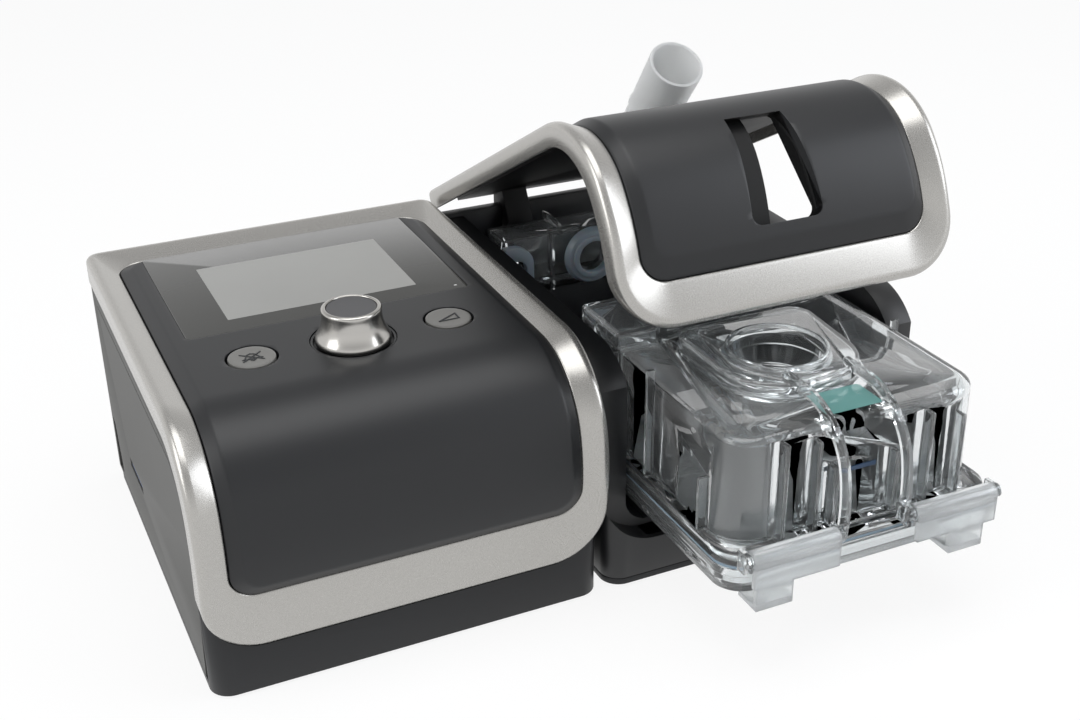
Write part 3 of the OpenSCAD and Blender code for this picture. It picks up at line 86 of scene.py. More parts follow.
def toLinear(hexColour):
    channels = [int(hexColour[i:i + 2], 16) / 255 for i in (1, 3, 5)]
    return [c / 12.92 if c <= 0.04045 else ((c + 0.055) / 1.055) ** 2.4 for c in channels] + [1.0]


def newMaterial(name):
    material = bpy.data.materials.new(name)
    material.use_nodes = True
    material.node_tree.nodes.clear()
    return material


def addNode(owner, kind, settings, links=None):
    # a setting goes to the socket of that name or number, or else to the node's own property
    node = owner.node_tree.nodes.new(kind)
    for key, value in settings.items():
        if isinstance(key, int) or key in node.inputs:
            node.inputs[key].default_value = value
        else:
            setattr(node, key, value)
    for key, source in (links or {}).items():
        owner.node_tree.links.new(source, node.inputs[key])
    return node


# mould texture and spray grain are near 0.05 mm, too fine to show, and are drawn at 0.2 to 0.6 mm
surface = {
    "cloud": 35.0,          # mm, how broad the patches are over which a colour wanders
    "wander": 0.06,         # how far it wanders
    "roughSpread": 0.03, "bumpStrength": 0.6,
    "ripple": 14.0,         # mm, flow ripples in the clear mouldings
    "rippleStrength": 0.5, "rippleShade": 0.97,
}


def grainedFinish(name, colour, roughness, grain, depth, settings, wander=surface["wander"]):
    # grain is the texture's spacing in mm and depth its height in mm
    material = newMaterial(name)
    spot = addNode(material, "ShaderNodeTexCoord", {})
    fine = addNode(material, "ShaderNodeTexNoise", {"Scale": 1 / (grain * mm), "Detail": 2.0},
                   {"Vector": spot.outputs["Object"]})
    broad = addNode(material, "ShaderNodeTexNoise", {"Scale": 1 / (surface["cloud"] * mm), "Detail": 1.0},
                    {"Vector": spot.outputs["Object"]})
    base = toLinear(colour)
    darker = [c * (1 - wander) for c in base[:3]] + [1.0]
    lighter = [min(c * (1 + wander), 1.0) for c in base[:3]] + [1.0]
    tint = addNode(material, "ShaderNodeMix", {"data_type": "RGBA", 6: darker, 7: lighter},
                   {"Factor": broad.outputs["Fac"]})
    spread = surface["roughSpread"]
    rough = addNode(material, "ShaderNodeMapRange",
                    {"To Min": roughness - spread, "To Max": roughness + spread},
                    {"Value": fine.outputs["Fac"]})
    bump = addNode(material, "ShaderNodeBump",
                   {"Strength": surface["bumpStrength"], "Distance": depth * mm},
                   {"Height": fine.outputs["Fac"]})
    shader = addNode(material, "ShaderNodeBsdfPrincipled", settings,
                     {"Base Color": tint.outputs[2], "Roughness": rough.outputs["Result"],
                      "Normal": bump.outputs["Normal"]})
    addNode(material, "ShaderNodeOutputMaterial", {}, {"Surface": shader.outputs["BSDF"]})
    return material


def polishedClear(name, colour, depth, settings):
    # depth is the height of the flow ripples in mm
    material = newMaterial(name)
    spot = addNode(material, "ShaderNodeTexCoord", {})
    flow = addNode(material, "ShaderNodeTexNoise", {"Scale": 1 / (surface["ripple"] * mm), "Detail": 1.5},
                   {"Vector": spot.outputs["Object"]})
    bump = addNode(material, "ShaderNodeBump",
                   {"Strength": surface["rippleStrength"], "Distance": depth * mm},
                   {"Height": flow.outputs["Fac"]})
    base = toLinear(colour)
    shaded = [c * surface["rippleShade"] for c in base[:3]] + [1.0]
    tint = addNode(material, "ShaderNodeMix", {"data_type": "RGBA", 6: shaded, 7: base},
                   {"Factor": flow.outputs["Fac"]})
    shader = addNode(material, "ShaderNodeBsdfPrincipled", settings,
                     {"Base Color": tint.outputs[2], "Normal": bump.outputs["Normal"]})
    addNode(material, "ShaderNodeOutputMaterial", {}, {"Surface": shader.outputs["BSDF"]})
    return material


polymer = {"IOR": 1.53}
acrylic = {"IOR": 1.49, "Coat Weight": 0.5, "Coat Roughness": 0.08}
metal = {"Metallic": 1.0}

# ABS from a spark-textured mould: a soft wide highlight over the round nose, no texture seen from afar
charcoalAbs = grainedFinish("charcoal ABS, satin moulded", "#202123", 0.40, 0.35, 0.012,
                            {**polymer, "Specular IOR Level": 0.38})
# the same moulding, duller: its warm grey, lighter than the charcoal, is painted light from the side, so the
# side walls read as one even tone
shellAbsPaintedLight = grainedFinish("ABS painted lighter grey for side light, satin moulded", "#51514f", 0.55, 0.35, 0.012,
                         {**polymer, "Specular IOR Level": 0.3})
# dark moulding of the lower trays: a quiet band between the silver and the table
apronAbs = grainedFinish("dark ABS, satin moulded", "#202123", 0.45, 0.35, 0.012,
                         {**polymer, "Specular IOR Level": 0.35})
# black moulding with a satin mould: the humidifier's walls, with soft edges of light
blackAbs = grainedFinish("black ABS, satin moulded", "#17181a", 0.42, 0.35, 0.012, polymer)
# matt inner walls that swallow the light under the lid: the matt finish is real, the colour darker than the
# black moulding is painted shade
innerBlackPaintedShade = grainedFinish("black ABS, matt inner wall, painted darker for shade", "#0b0b0c", 0.6, 0.5, 0.01,
                           {**polymer, "Specular IOR Level": 0.3})
# aluminium flake in sprayed lacquer over ABS: warm metal with blurred reflections and a fine sparkle
silverPaint = grainedFinish("silver paint on ABS, satin sprayed", "#b4b2ae", 0.27, 0.22, 0.0015,
                            {**polymer, "Metallic": 0.75}, 0.02)
# satin plating: harder and brighter reflections than the paint's
chromePlate = grainedFinish("satin chrome plating on ABS", "#b9b7b3", 0.22, 0.25, 0.002, metal, 0.02)
# the knob's disc, turned fine: a dull dark face in the bright ring
insertAbs = grainedFinish("dark ABS disc, fine turned", "#444446", 0.45, 0.3, 0.01, polymer)
# soft-touch lacquer: mid grey caps with a low sheen
keyPaint = grainedFinish("grey lacquer on key caps", "#6d6c69", 0.38, 0.25, 0.006, polymer)
# pad printing: matt dark strokes
markInk = grainedFinish("dark printing ink", "#26282b", 0.55, 0.3, 0.004, polymer)
# polished and smoked, with faint ripples 6 mm apart: the window mirrors the room softly
lensAcrylic = grainedFinish("smoked acrylic window, polished", "#434341", 0.22, 6.0, 0.002, acrylic)
# the display when it is off, under the same window: flat, its pale grey a painted reflection of the window's
# glossy face
lcdFacePaintedReflection = grainedFinish("unlit display behind acrylic, painted pale reflection", "#8c8c89", 0.30, 5.0, 0.001, acrylic)
# undyed moulding: warm white, satin
whiteAbs = grainedFinish("natural white ABS", "#d9dad8", 0.45, 0.4, 0.01, polymer)
# moulded rubber: dull and dark, hardly a highlight
rubber = grainedFinish("black rubber, moulded", "#1c1c1d", 0.75, 0.5, 0.02, polymer)
# undyed silicone: cloudy blue-white that lets light through its lips
silicone = grainedFinish("translucent silicone", "#b9c6d0", 0.35, 0.6, 0.01,
                         {**polymer, "Transmission Weight": 0.35, "Subsurface Weight": 0.3,
                          "Subsurface Scale": 0.004})
# dyed silicone: the grey-blue line between tray and shell
gasketSilicone = grainedFinish("grey-blue silicone gasket", "#8ea3b3", 0.4, 0.6, 0.01, polymer)
# foam with cells of 0.5 mm, drawn 1.2 mm wide so that they show: matt and pitted
foam = grainedFinish("open-cell foam", "#4a4b4c", 0.95, 1.2, 0.5, polymer)
# pressed fibre: white and fuzzy
felt = grainedFinish("filter felt", "#dcdcd6", 0.95, 0.6, 0.2, polymer)
# rolled sheet: grey-white metal with soft reflections
aluminium = grainedFinish("rolled aluminium", "#c7c8c8", 0.35, 0.4, 0.004, metal, 0.02)
# zinc plated: a cooler and darker metal
steel = grainedFinish("zinc-plated steel", "#9c9ea0", 0.35, 0.5, 0.004, metal, 0.03)
# solder resist: glossy dark green
boardLacquer = grainedFinish("circuit board lacquer", "#1d5238", 0.3, 1.0, 0.01, polymer)
# moulded memory card: plain blue with a satin face
cardAbs = grainedFinish("blue card ABS", "#1c3f73", 0.4, 0.3, 0.008, polymer)
# polycarbonate from a polished mould: glass-clear, with a bright and a dark line at every edge
clearPc = polishedClear("clear polycarbonate, polished mould", "#f8fbfc", 0.01,
                        {"IOR": 1.58, "Roughness": 0.02, "Transmission Weight": 0.94})
# the clips' satin mould: light comes through and shapes blur
frostPc = grainedFinish("clip polycarbonate, satin mould", "#f2f5f6", 0.22, 0.4, 0.004,
                        {"IOR": 1.58, "Transmission Weight": 0.74}, 0.02)
# the elbow's satin mould: milky white with a hint of the far wall
tubePc = grainedFinish("elbow polycarbonate, milky satin mould", "#f4f5f5", 0.38, 0.4, 0.004,
                       {"IOR": 1.58, "Transmission Weight": 0.58}, 0.02)
# printing on the chamber: a dark blue line
levelInk = grainedFinish("blue level ink", "#27415f", 0.5, 0.3, 0.004, polymer)
# a thin printed film: teal that the chamber shows through
tealInk = grainedFinish("teal printed patch", "#6fa9a4", 0.4, 0.5, 0.003, {**polymer, "Alpha": 0.55})
print("materials made")

# the side profile that both housings share: a flat top, a round nose and a slightly bulging front
housing = {
    "noseRadius": 37.5, "noseY": 33.6, "noseZ": 65.1, "topSlope": math.radians(0.7),
    "browAngle": math.radians(77.75), "frontRadius": 75.0, "chinAngle": math.radians(98.0),
    "seamHeight": 19.5, "mainWidth": 152.0, "humidifierX": 153.5, "totalWidth": 296.5,
}
noseR, frontR = housing["noseRadius"], housing["frontRadius"]
slope, brow, chin = housing["topSlope"], housing["browAngle"], housing["chinAngle"]
mainWidth, humX, totalWidth = housing["mainWidth"], housing["humidifierX"], housing["totalWidth"]
noseC = (housing["noseY"], housing["noseZ"])
frontC = (noseC[0] + (frontR - noseR) * math.sin(brow), noseC[1] - (frontR - noseR) * math.cos(brow))
topStart = (noseC[0] - noseR * math.sin(slope), noseC[1] + noseR * math.cos(slope))
topLength = (frameDepth - topStart[0]) / math.cos(slope)
noseLength = noseR * (brow - slope)
frontLength = frontR * (chin - brow)


def profilePoint(s, deep):
    # s runs over the skin from the rear edge; deep is how far under the skin
    if s < topLength:
        back = topLength - s
        y, z, phi = topStart[0] + back * math.cos(slope), topStart[1] + back * math.sin(slope), slope
    elif s < topLength + noseLength:
        phi = slope + (s - topLength) / noseR
        y, z = noseC[0] - noseR * math.sin(phi), noseC[1] + noseR * math.cos(phi)
    else:
        past = s - topLength - noseLength
        phi = min(brow + past / frontR, chin)
        below = max(past - frontLength, 0)
        y = frontC[0] - frontR * math.sin(phi) - below * math.cos(phi)
        z = frontC[1] + frontR * math.cos(phi) - below * math.sin(phi)
    return y + deep * math.sin(phi), z - deep * math.cos(phi)


def lengthAtHeight(height):
    # where on the nose or front the skin is at a height, found by halving; 80 mm reaches past the table
    low, high = topLength, topLength + noseLength + frontLength + 80
    for _ in range(50):
        middle = (low + high) / 2
        low, high = (middle, high) if profilePoint(middle, 0)[1] > height else (low, middle)
    return low


def skinPoint(x, s, deep):
    y, z = profilePoint(s, deep)
    return place(x, y, z)


def onTop(x, along, up):
    # a point on the flat top: along runs back from the nose, up is above the skin
    return place(x, topStart[0] + along * math.cos(slope) - up * math.sin(slope),
                 topStart[1] + along * math.sin(slope) + up * math.cos(slope))


topNormal = onTop(0, 0, 1) - onTop(0, 0, 0)
straightUp, toTheRear, toTheRight = Vector((0, 0, 1)), Vector((0, 1, 0)), Vector((1, 0, 0))
lidHinge = {"y": 179.35, "z": 89.2, "open": math.radians(28.56)}
hingePoint = place(0, lidHinge["y"], lidHinge["z"])
lidOpened = (Matrix.Translation(hingePoint) @ Matrix.Rotation(-lidHinge["open"], 4, "X")
             @ Matrix.Translation(-hingePoint))
asDrawn = Matrix.Identity(4)


def meshObject(name, bm):
    mesh = bpy.data.meshes.new(name)
    bm.to_mesh(mesh)
    bm.free()
    made = bpy.data.objects.new(name, mesh)
    bpy.context.scene.collection.objects.link(made)
    return made


def shadeByAngle(piece, degrees):
    piece.data.polygons.foreach_set("use_smooth", [True] * len(piece.data.polygons))
    piece.data.set_sharp_from_angle(angle=math.radians(degrees))


def finishPiece(name, bm, material, body, replaced=(), matrix=asDrawn, sharp=40):
    bmesh.ops.recalc_face_normals(bm, faces=bm.faces)
    piece = meshObject(name, bm)
    piece.data.transform(matrix)
    piece.data.materials.append(material)
    shadeByAngle(piece, sharp)
    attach(piece, body)
    if replaced:
        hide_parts(*replaced)
    return piece


def addModifier(piece, kind, settings):
    modifier = piece.modifiers.new(kind.lower(), kind)
    for key, value in settings.items():
        setattr(modifier, key, value)


def applyModifiers(piece):
    depsgraph = bpy.context.evaluated_depsgraph_get()
    mesh = bpy.data.meshes.new_from_object(piece.evaluated_get(depsgraph))
    piece.modifiers.clear()
    piece.data = mesh


def cutPiece(piece, cutters, overlapping=False):
    for cutter in cutters:
        addModifier(piece, "BOOLEAN", {"operation": "DIFFERENCE", "solver": "EXACT", "object": cutter,
                                       "use_self": overlapping})
    applyModifiers(piece)
    for cutter in cutters:
        bpy.data.objects.remove(cutter)


def softenEdges(piece, width, angle=35):
    addModifier(piece, "BEVEL", {"width": width * mm, "segments": 2, "limit_method": "ANGLE",
                                 "angle_limit": math.radians(angle), "harden_normals": False,
                                 "use_clamp_overlap": True})
    applyModifiers(piece)
    shadeByAngle(piece, 40)


def joinRings(bm, rings, closed):
    pairs = list(zip(rings, rings[1:])) + ([(rings[-1], rings[0])] if closed else [])
    for low, high in pairs:
        for i in range(len(low)):
            j = (i + 1) % len(low)
            bm.faces.new((low[i], low[j], high[j], high[i]))


def closeSolid(bm, rings):
    joinRings(bm, rings, False)
    bm.faces.new(rings[0])
    bm.faces.new(rings[-1])


def prism(outline, start, end, axis, bm=None, out=0.0):
    # a solid from start to end on an axis, over (y, z) points for "x" or (x, z) points for "y"
    bm = bm or bmesh.new()
    if axis == "x":
        ends = [[bm.verts.new(place(t, a - out, b)) for a, b in outline] for t in (start, end)]
    else:
        ends = [[bm.verts.new(place(a, t - out, b)) for a, b in outline] for t in (start, end)]
    closeSolid(bm, ends)
    return bm


cutterOver = 2.0  # how far a cutter reaches out of the piece that it cuts


def asCutter(bm, turn=True):
    # turn points all faces outward; solids that overlap are cut with as they were drawn
    if turn:
        bmesh.ops.recalc_face_normals(bm, faces=bm.faces)
    return meshObject("cutter", bm)


def lathe(outline, centre, up, segments=96, bm=None):
    # turns (radius, height) points round an axis; a first or last radius of 0 closes to a point
    bm = bm or bmesh.new()
    up = up.normalized()
    east = Vector((1, 0, 0)) if abs(up.x) < 0.9 else Vector((0, 1, 0))
    east = (east - up * east.dot(up)).normalized()
    north = up.cross(east)
    rings = []
    for radius, height in outline:
        middle = centre + up * height * mm
        if radius == 0:
            rings.append([bm.verts.new(middle)])
        else:
            rings.append([bm.verts.new(middle + (east * math.cos(a) + north * math.sin(a)) * radius * mm)
                          for a in (2 * math.pi * i / segments for i in range(segments))])
    for low, high in zip(rings, rings[1:]):
        for i in range(segments):
            j = (i + 1) % segments
            corners = [low[i % len(low)], low[j % len(low)], high[j % len(high)], high[i % len(high)]]
            bm.faces.new(list(dict.fromkeys(corners)))
    return bm


leastRadius = 0.3  # an outline's corner gets no sharper than this
# points in each of a loop's long sides, corners and short sides
nSide, nCorner, nFront = 110, 14, 44
halfLoop = nSide + 2 * nCorner + nFront


def roundedLoop(x0, x1, s0, s1, rear, fore):
    # a round rectangle in (x, s): the left side, the front, the right side and the rear
    rear, fore = max(rear, leastRadius), max(fore, leastRadius)
    long, wideFore, wideRear = s1 - fore - s0 - rear, x1 - x0 - 2 * fore, x1 - x0 - 2 * rear
    quarter = [math.pi / 2 * i / nCorner for i in range(nCorner)]
    points = [(x0, s0 + rear + long * i / nSide) for i in range(nSide)]
    points += [(x0 + fore - fore * math.cos(a), s1 - fore + fore * math.sin(a)) for a in quarter]
    points += [(x0 + fore + wideFore * i / nFront, s1) for i in range(nFront)]
    points += [(x1 - fore + fore * math.sin(a), s1 - fore + fore * math.cos(a)) for a in quarter]
    points += [(x1, s1 - fore - long * i / nSide) for i in range(nSide)]
    points += [(x1 - rear + rear * math.cos(a), s0 + rear - rear * math.sin(a)) for a in quarter]
    points += [(x1 - rear - wideRear * i / nFront, s0) for i in range(nFront)]
    points += [(x0 + rear - rear * math.sin(a), s0 + rear - rear * math.cos(a)) for a in quarter]
    return points


def fillLoop(bm, ring, loop, deep):
    # rows of faces from side to side inside a ring of vertices made by roundedLoop
    total = len(ring)
    firstFront, lastFront = nSide + nCorner, nSide + nCorner + nFront
    rearLeft = total - nCorner
    rows = [[ring[i % total] for i in range(rearLeft, rearLeft - nFront - 1, -1)]]
    for left in list(range(rearLeft + 1, total)) + list(range(firstFront)):
        right = (lastFront + firstFront - left) % total
        (xl, s), xr = loop[left], loop[right][0]
        inner = [bm.verts.new(skinPoint(xl + (xr - xl) * k / nFront, s, deep)) for k in range(1, nFront)]
        rows.append([ring[left]] + inner + [ring[right]])
    rows.append([ring[i] for i in range(firstFront, lastFront + 1)])
    for upper, lower in zip(rows, rows[1:]):
        for k in range(nFront):
            corners = list(dict.fromkeys((upper[k], upper[k + 1], lower[k + 1], lower[k])))
            if len(corners) > 2:
                bm.faces.new(corners)


# the silver frames: widths of their rails and bars, and how far the skirt hangs down the sides
silverFrame = {
    "rail": 10.4, "bar": 22.0, "rearBar": 13.0,
    "outerCorner": 22.0, "openingCorner": 10.0, "rearCorner": 6.0,
    "skirt": 10.9, "thin": 3.4, "fade": 0.75, "backDeep": 3.3, "backEdge": 2.0,
}
lidFrame = {**silverFrame, "rail": 11.0, "bar": 16.5, "skirt": 9.0}
# across a frame: distance from its outer or inner edge, and depth under the skin
skirtEdge = [(2.0, 0.0), (0.45, 0.0), (0.0, -0.45)]
ridge = [(0.0, 2.9), (0.1, 1.9), (0.45, 1.1), (1.1, 0.45), (1.9, 0.12), (2.8, 0.03), (3.8, 0.15)]
innerEdge = [(1.4, 2.45), (0.6, 2.72), (0.15, 2.95), (0.0, 3.4), (0.0, 4.2), (1.2, 4.2), (3.0, 3.4)]


def skirtShare(k, fade):
    # 1 along a side, falling smoothly to 0 in the corners, where a frame has no skirt
    if k < nSide:
        share = 1.0
    elif k < nSide + nCorner:
        share = max(0.0, 1 - (k - nSide) / (fade * nCorner))
    elif k < nSide + nCorner + nFront:
        share = 0.0
    else:
        share = max(0.0, 1 - (halfLoop - k) / (fade * nCorner))
    return share * share * (3 - 2 * share)


def buildFrame(name, x0, x1, size, node, body, matrix):
    front = lengthAtHeight(housing["seamHeight"])
    rail, bar, rear, thin = size["rail"], size["bar"], size["rearBar"], size["thin"]

    def outerLoop(e):
        return roundedLoop(x0 + e, x1 - e, e, front - e, size["rearCorner"] - e, size["outerCorner"] - e)

    def innerLoop(e):
        corner = size["openingCorner"] + e
        return roundedLoop(x0 + rail - e, x1 - rail + e, rear - e, front - bar + e, corner, corner)

    shares = [skirtShare(k, size["fade"]) for k in range(halfLoop)]
    shares += [shares[(2 * halfLoop + nSide - 1 - i) % halfLoop] for i in range(halfLoop, 2 * halfLoop)]
    bm = bmesh.new()
    rings = []
    for edge, deep in skirtEdge:
        rings.append([bm.verts.new(skinPoint(x, s, thin + (size["skirt"] - thin) * share + deep))
                      for (x, s), share in zip(outerLoop(edge), shares)])
    for profile, loop in ((ridge, outerLoop), (innerEdge, innerLoop)):
        for edge, deep in profile:
            rings.append([bm.verts.new(skinPoint(x, s, deep)) for x, s in loop(edge)])
    rings.append([bm.verts.new(skinPoint(x, s, size["backDeep"])) for x, s in outerLoop(size["backEdge"])])
    joinRings(bm, rings, True)
    finishPiece(name, bm, silverPaint, body, (node,), matrix, 60)


buildFrame("main_frame", 0, mainWidth, silverFrame, "bezel_frame", "housing", asDrawn)
buildFrame("lid_frame", humX, totalWidth, lidFrame, "lid_bezel", "lid", lidOpened)
print("silver frames made")

# the raised panels in the frames, with a chamfered border
panel = {
    "gap": 0.4, "under": 4.9, "cornerShare": 0.6, "leastCorner": 4.0,
    "border": (4.6, 4.6, 4.6),   # its width at the sides, the front and the rear
    "softEdge": 0.25,
}
lidPanelSize = {**panel, "border": (4.6, 8.0, 4.6)}
# across the border: share of its width and depth under the skin
chamfer = [(0.0, 2.9), (0.05, 2.6), (0.14, 2.35), (0.75, 0.98), (0.88, 0.68), (1.0, 0.53), (1.15, 0.5)]


def buildPanel(name, x0, x1, frameSize, size, node, body, matrix, cutters):
    gap, under = size["gap"], size["under"]
    front = lengthAtHeight(housing["seamHeight"]) - frameSize["bar"] - gap
    rail, rear = frameSize["rail"] + gap, frameSize["rearBar"] + gap
    corner = frameSize["openingCorner"] - gap
    side, foot, back = size["border"]

    def loopAt(share):
        radius = max(corner - share * side * size["cornerShare"], size["leastCorner"])
        return roundedLoop(x0 + rail + share * side, x1 - rail - share * side, rear + share * back,
                           front - share * foot, radius, radius)

    bm = bmesh.new()
    rings = [[bm.verts.new(skinPoint(x, s, under)) for x, s in loopAt(0)]]
    for share, deep in chamfer:
        rings.append([bm.verts.new(skinPoint(x, s, deep)) for x, s in loopAt(share)])
    joinRings(bm, rings, False)
    fillLoop(bm, rings[-1], loopAt(chamfer[-1][0]), chamfer[-1][1])
    fillLoop(bm, rings[0], loopAt(0), under)
    piece = finishPiece(name, bm, charcoalAbs, body, (node,), asDrawn, 50)
    cutPiece(piece, cutters)
    softenEdges(piece, size["softEdge"], 60)
    piece.data.transform(matrix)


def topBlock(x0, x1, a0, a1, low, high, radius, steps=6):
    # a block standing on the flat top, with round corners in plan
    centres = [(x0 + radius, a0 + radius, 180), (x1 - radius, a0 + radius, 270),
               (x1 - radius, a1 - radius, 0), (x0 + radius, a1 - radius, 90)]
    outline = [(cx + radius * math.cos(math.radians(t + 90 * k / steps)),
                ca + radius * math.sin(math.radians(t + 90 * k / steps)))
               for cx, ca, t in centres for k in range(steps + 1)]
    bm = bmesh.new()
    closeSolid(bm, [[bm.verts.new(onTop(x, a, h)) for x, a in outline] for h in (low, high)])
    return bm


# the controls' places on the flat top, which the main panel is cut for
knob = {
    "x": 76.0, "along": 20.9, "well": 16.0,
    # radius and height over the panel
    "ring": [(9.3, 11.3), (9.3, 12.1), (9.45, 12.4), (9.75, 12.5), (10.3, 12.45), (10.8, 12.2),
             (11.05, 11.75), (11.08, 11.2), (11.0, 10.4), (11.0, 9.4), (11.1, 8.2), (11.3, 7.0),
             (11.6, 5.8), (12.0, 4.6), (12.5, 3.4), (13.1, 2.3), (13.6, 1.5), (13.9, 0.8), (14.0, 0.1),
             (13.95, -0.6), (13.6, -1.15), (13.0, -1.4), (6.0, -1.4), (6.0, 1.0), (9.0, 1.0), (9.0, 11.3),
             (9.3, 11.3)],
    "disc": [(0, 11.3), (9.2, 11.3), (9.2, 11.9), (9.0, 12.1), (6, 12.05), (0, 12.0)],
    "recess": [(0, -5), (15.7, -5), (15.7, -0.9), (15.5, -0.75), (15.0, -0.75), (14.8, -0.9), (14.8, -2.3),
               (0, -2.3)],
}
keys = {
    "out": 37.5, "along": 21.9, "hole": 9.6,
    "cap": [(0, -6.4), (10.4, -6.4), (10.4, -5.6), (8.6, -5.6), (8.6, -0.65), (8.5, -0.38), (8.25, -0.24),
            (7.9, -0.2), (6.5, -0.28), (4, -0.38), (0, -0.42)],
}
lens = {
    "width": 111.0, "length": 81.4, "along": 45.5, "thick": 1.2, "sink": 0.5, "gap": 0.15, "corner": 1.9,
    "holeCorner": 2.0, "holeTop": 3.0, "softEdge": 0.15,
}
cutReach = 9.0  # how far the round cuts go over and under the skin

leftKeyX, rightKeyX = mainWidth / 2 - keys["out"], mainWidth / 2 + keys["out"]
lensX0, lensA0, lensTop = mainWidth / 2 - lens["width"] / 2, lens["along"], -lens["sink"]
lensX1, lensA1, lensUnder = lensX0 + lens["width"], lensA0 + lens["length"], lensTop - lens["thick"]


def topCylinder(x, along, radius):
    return asCutter(lathe([(0, -cutReach), (radius, -cutReach), (radius, cutReach), (0, cutReach)],
                          onTop(x, along, 0), topNormal))


panelCuts = [topCylinder(knob["x"], knob["along"], knob["well"])]
panelCuts += [topCylinder(x, keys["along"], keys["hole"]) for x in (leftKeyX, rightKeyX)]
panelCuts += [asCutter(topBlock(lensX0 - lens["gap"], lensX1 + lens["gap"], lensA0 - lens["gap"],
                                lensA1 + lens["gap"], lensUnder, lens["holeTop"], lens["holeCorner"]))]
buildPanel("main_panel", 0, mainWidth, silverFrame, panel, "top_panel", "housing", asDrawn, panelCuts)

window = {
    "x": humX + 71.5, "foot": 30.0, "top": 24.0, "footZ": 49.0, "topZ": 90.0, "corner": 4.0, "cutFrom": -40.0,
}


def windowOutline(grow):
    # (x, z) points, wider at the foot, with round lower corners
    half, halfTop, r = window["foot"] / 2 + grow, window["top"] / 2 + grow, window["corner"]
    low, high, x = window["footZ"] - grow, window["topZ"] + grow, window["x"]
    points = []
    for side in (-1, 1):
        arc = [(x + side * (half - r + r * math.sin(a)), low + r - r * math.cos(a))
               for a in (math.pi / 2 * k / 6 for k in range(7))]
        arc.append((x + side * halfTop, high))
        points += arc if side == 1 else arc[::-1]
    return points


lidCut = asCutter(prism(windowOutline(0), window["cutFrom"], housing["noseY"], "y"))
buildPanel("lid_panel_piece", humX, totalWidth, lidFrame, lidPanelSize, "lid_panel", "lid", lidOpened,
           [lidCut])

# the window's black tunnel, with a plate along its left side that hides the inside of the lid, both in the
# inner black that is painted darker for shade
tunnel = {
    "edge": 1.5, "start": 0.9, "deep": 8.0, "highest": 101.0, "plateWide": 10.5, "plateDeep": 6.9,
    "plateThick": 1.0, "plateSteps": 12, "plateOver": 2.0, "plateTop": 3.0,
}
bm = bmesh.new()
rings = []
for grow, deep in ((0.0, tunnel["start"]), (tunnel["edge"], tunnel["start"]),
                   (tunnel["edge"], tunnel["deep"]), (0.0, tunnel["deep"])):
    ring = []
    for x, z in windowOutline(grow):
        skinY = profilePoint(lengthAtHeight(min(z, tunnel["highest"])), 0)[0]
        ring.append(bm.verts.new(place(x, skinY + deep, z)))
    rings.append(ring)
joinRings(bm, rings, True)
rings = []
for k in range(tunnel["plateSteps"] + 1):
    share = k / tunnel["plateSteps"]
    z = (window["footZ"] - tunnel["plateOver"]
         + (window["topZ"] + tunnel["plateTop"] - window["footZ"]) * share)
    left = (window["x"] - window["foot"] / 2 - tunnel["plateOver"]
            + (window["foot"] - window["top"]) / 2 * share)
    right = left + tunnel["plateOver"] + tunnel["plateWide"]
    near = profilePoint(lengthAtHeight(z), 0)[0] + tunnel["plateDeep"]
    far = near + tunnel["plateThick"]
    rings.append([bm.verts.new(place(*spot)) for spot in (
        (left, near, z), (right, near, z), (right, far, z), (left, far, z))])
closeSolid(bm, rings)
finishPiece("window_tunnel", bm, innerBlackPaintedShade, "lid", matrix=lidOpened)
print("panels made")

bm = topBlock(lensX0, lensX1, lensA0, lensA1, lensUnder, lensTop, lens["corner"])
lensPiece = finishPiece("display_window", bm, lensAcrylic, "housing", ("display_lens",))
softenEdges(lensPiece, lens["softEdge"], 60)
# the picture area and the lamp stand a hair over the window, as if printed on it; the picture area's pale
# grey is a painted reflection
display = {"width": 75.0, "height": 52.0, "along": 81.9, "rise": 0.02, "root": 0.2, "corner": 0.4}
lamp = {"x0": 126.6, "x1": 127.8, "front": 2.9, "rear": 3.7, "corner": 0.3}
low, high = lensTop - display["root"], lensTop + display["rise"]
bm = topBlock(mainWidth / 2 - display["width"] / 2, mainWidth / 2 + display["width"] / 2,
              display["along"] - display["height"] / 2, display["along"] + display["height"] / 2,
              low, high, display["corner"])
finishPiece("display_picture", bm, lcdFacePaintedReflection, "housing")
bm = topBlock(lamp["x0"], lamp["x1"], lensA0 + lamp["front"], lensA0 + lamp["rear"], low, high,
              lamp["corner"])
finishPiece("lamp_spot", bm, whiteAbs, "housing", ("status_lamp",))

knobCentre = onTop(knob["x"], knob["along"], 0)
bm = lathe(knob["ring"], knobCentre, topNormal)
bmesh.ops.remove_doubles(bm, verts=bm.verts, dist=1e-6)
finishPiece("knob_ring", bm, chromePlate, "knob_turner", ("knob",), sharp=50)
bm = lathe(knob["disc"], knobCentre, topNormal)
finishPiece("knob_disc", bm, insertAbs, "knob_turner", ("knob_insert",))
bm = lathe(knob["recess"], knobCentre, topNormal)
finishPiece("knob_recess", bm, blackAbs, "housing", ("knob_well",))

# the signs on the keys, as lines of (x, along) points round the key's centre
marks = {
    "bell": [(-3.6, -1.6), (-2.6, -0.9), (-2.0, 0.6), (-1.4, 1.9), (0, 2.6), (1.4, 1.9), (2.0, 0.6),
             (2.6, -0.9), (3.6, -1.6), (-3.6, -1.6)],
    "clapper": [(-0.8, -2.3), (0, -2.9), (0.8, -2.3)],
    "cross": ([(-3.8, 3.0), (3.8, -3.2)], [(3.8, 3.0), (-3.8, -3.2)]),
    "ramp": [(-4.2, -1.8), (3.6, -1.8), (3.6, 2.6), (-4.2, -1.8)],
    "low": -0.6, "high": -0.17, "overlap": 0.3,
}


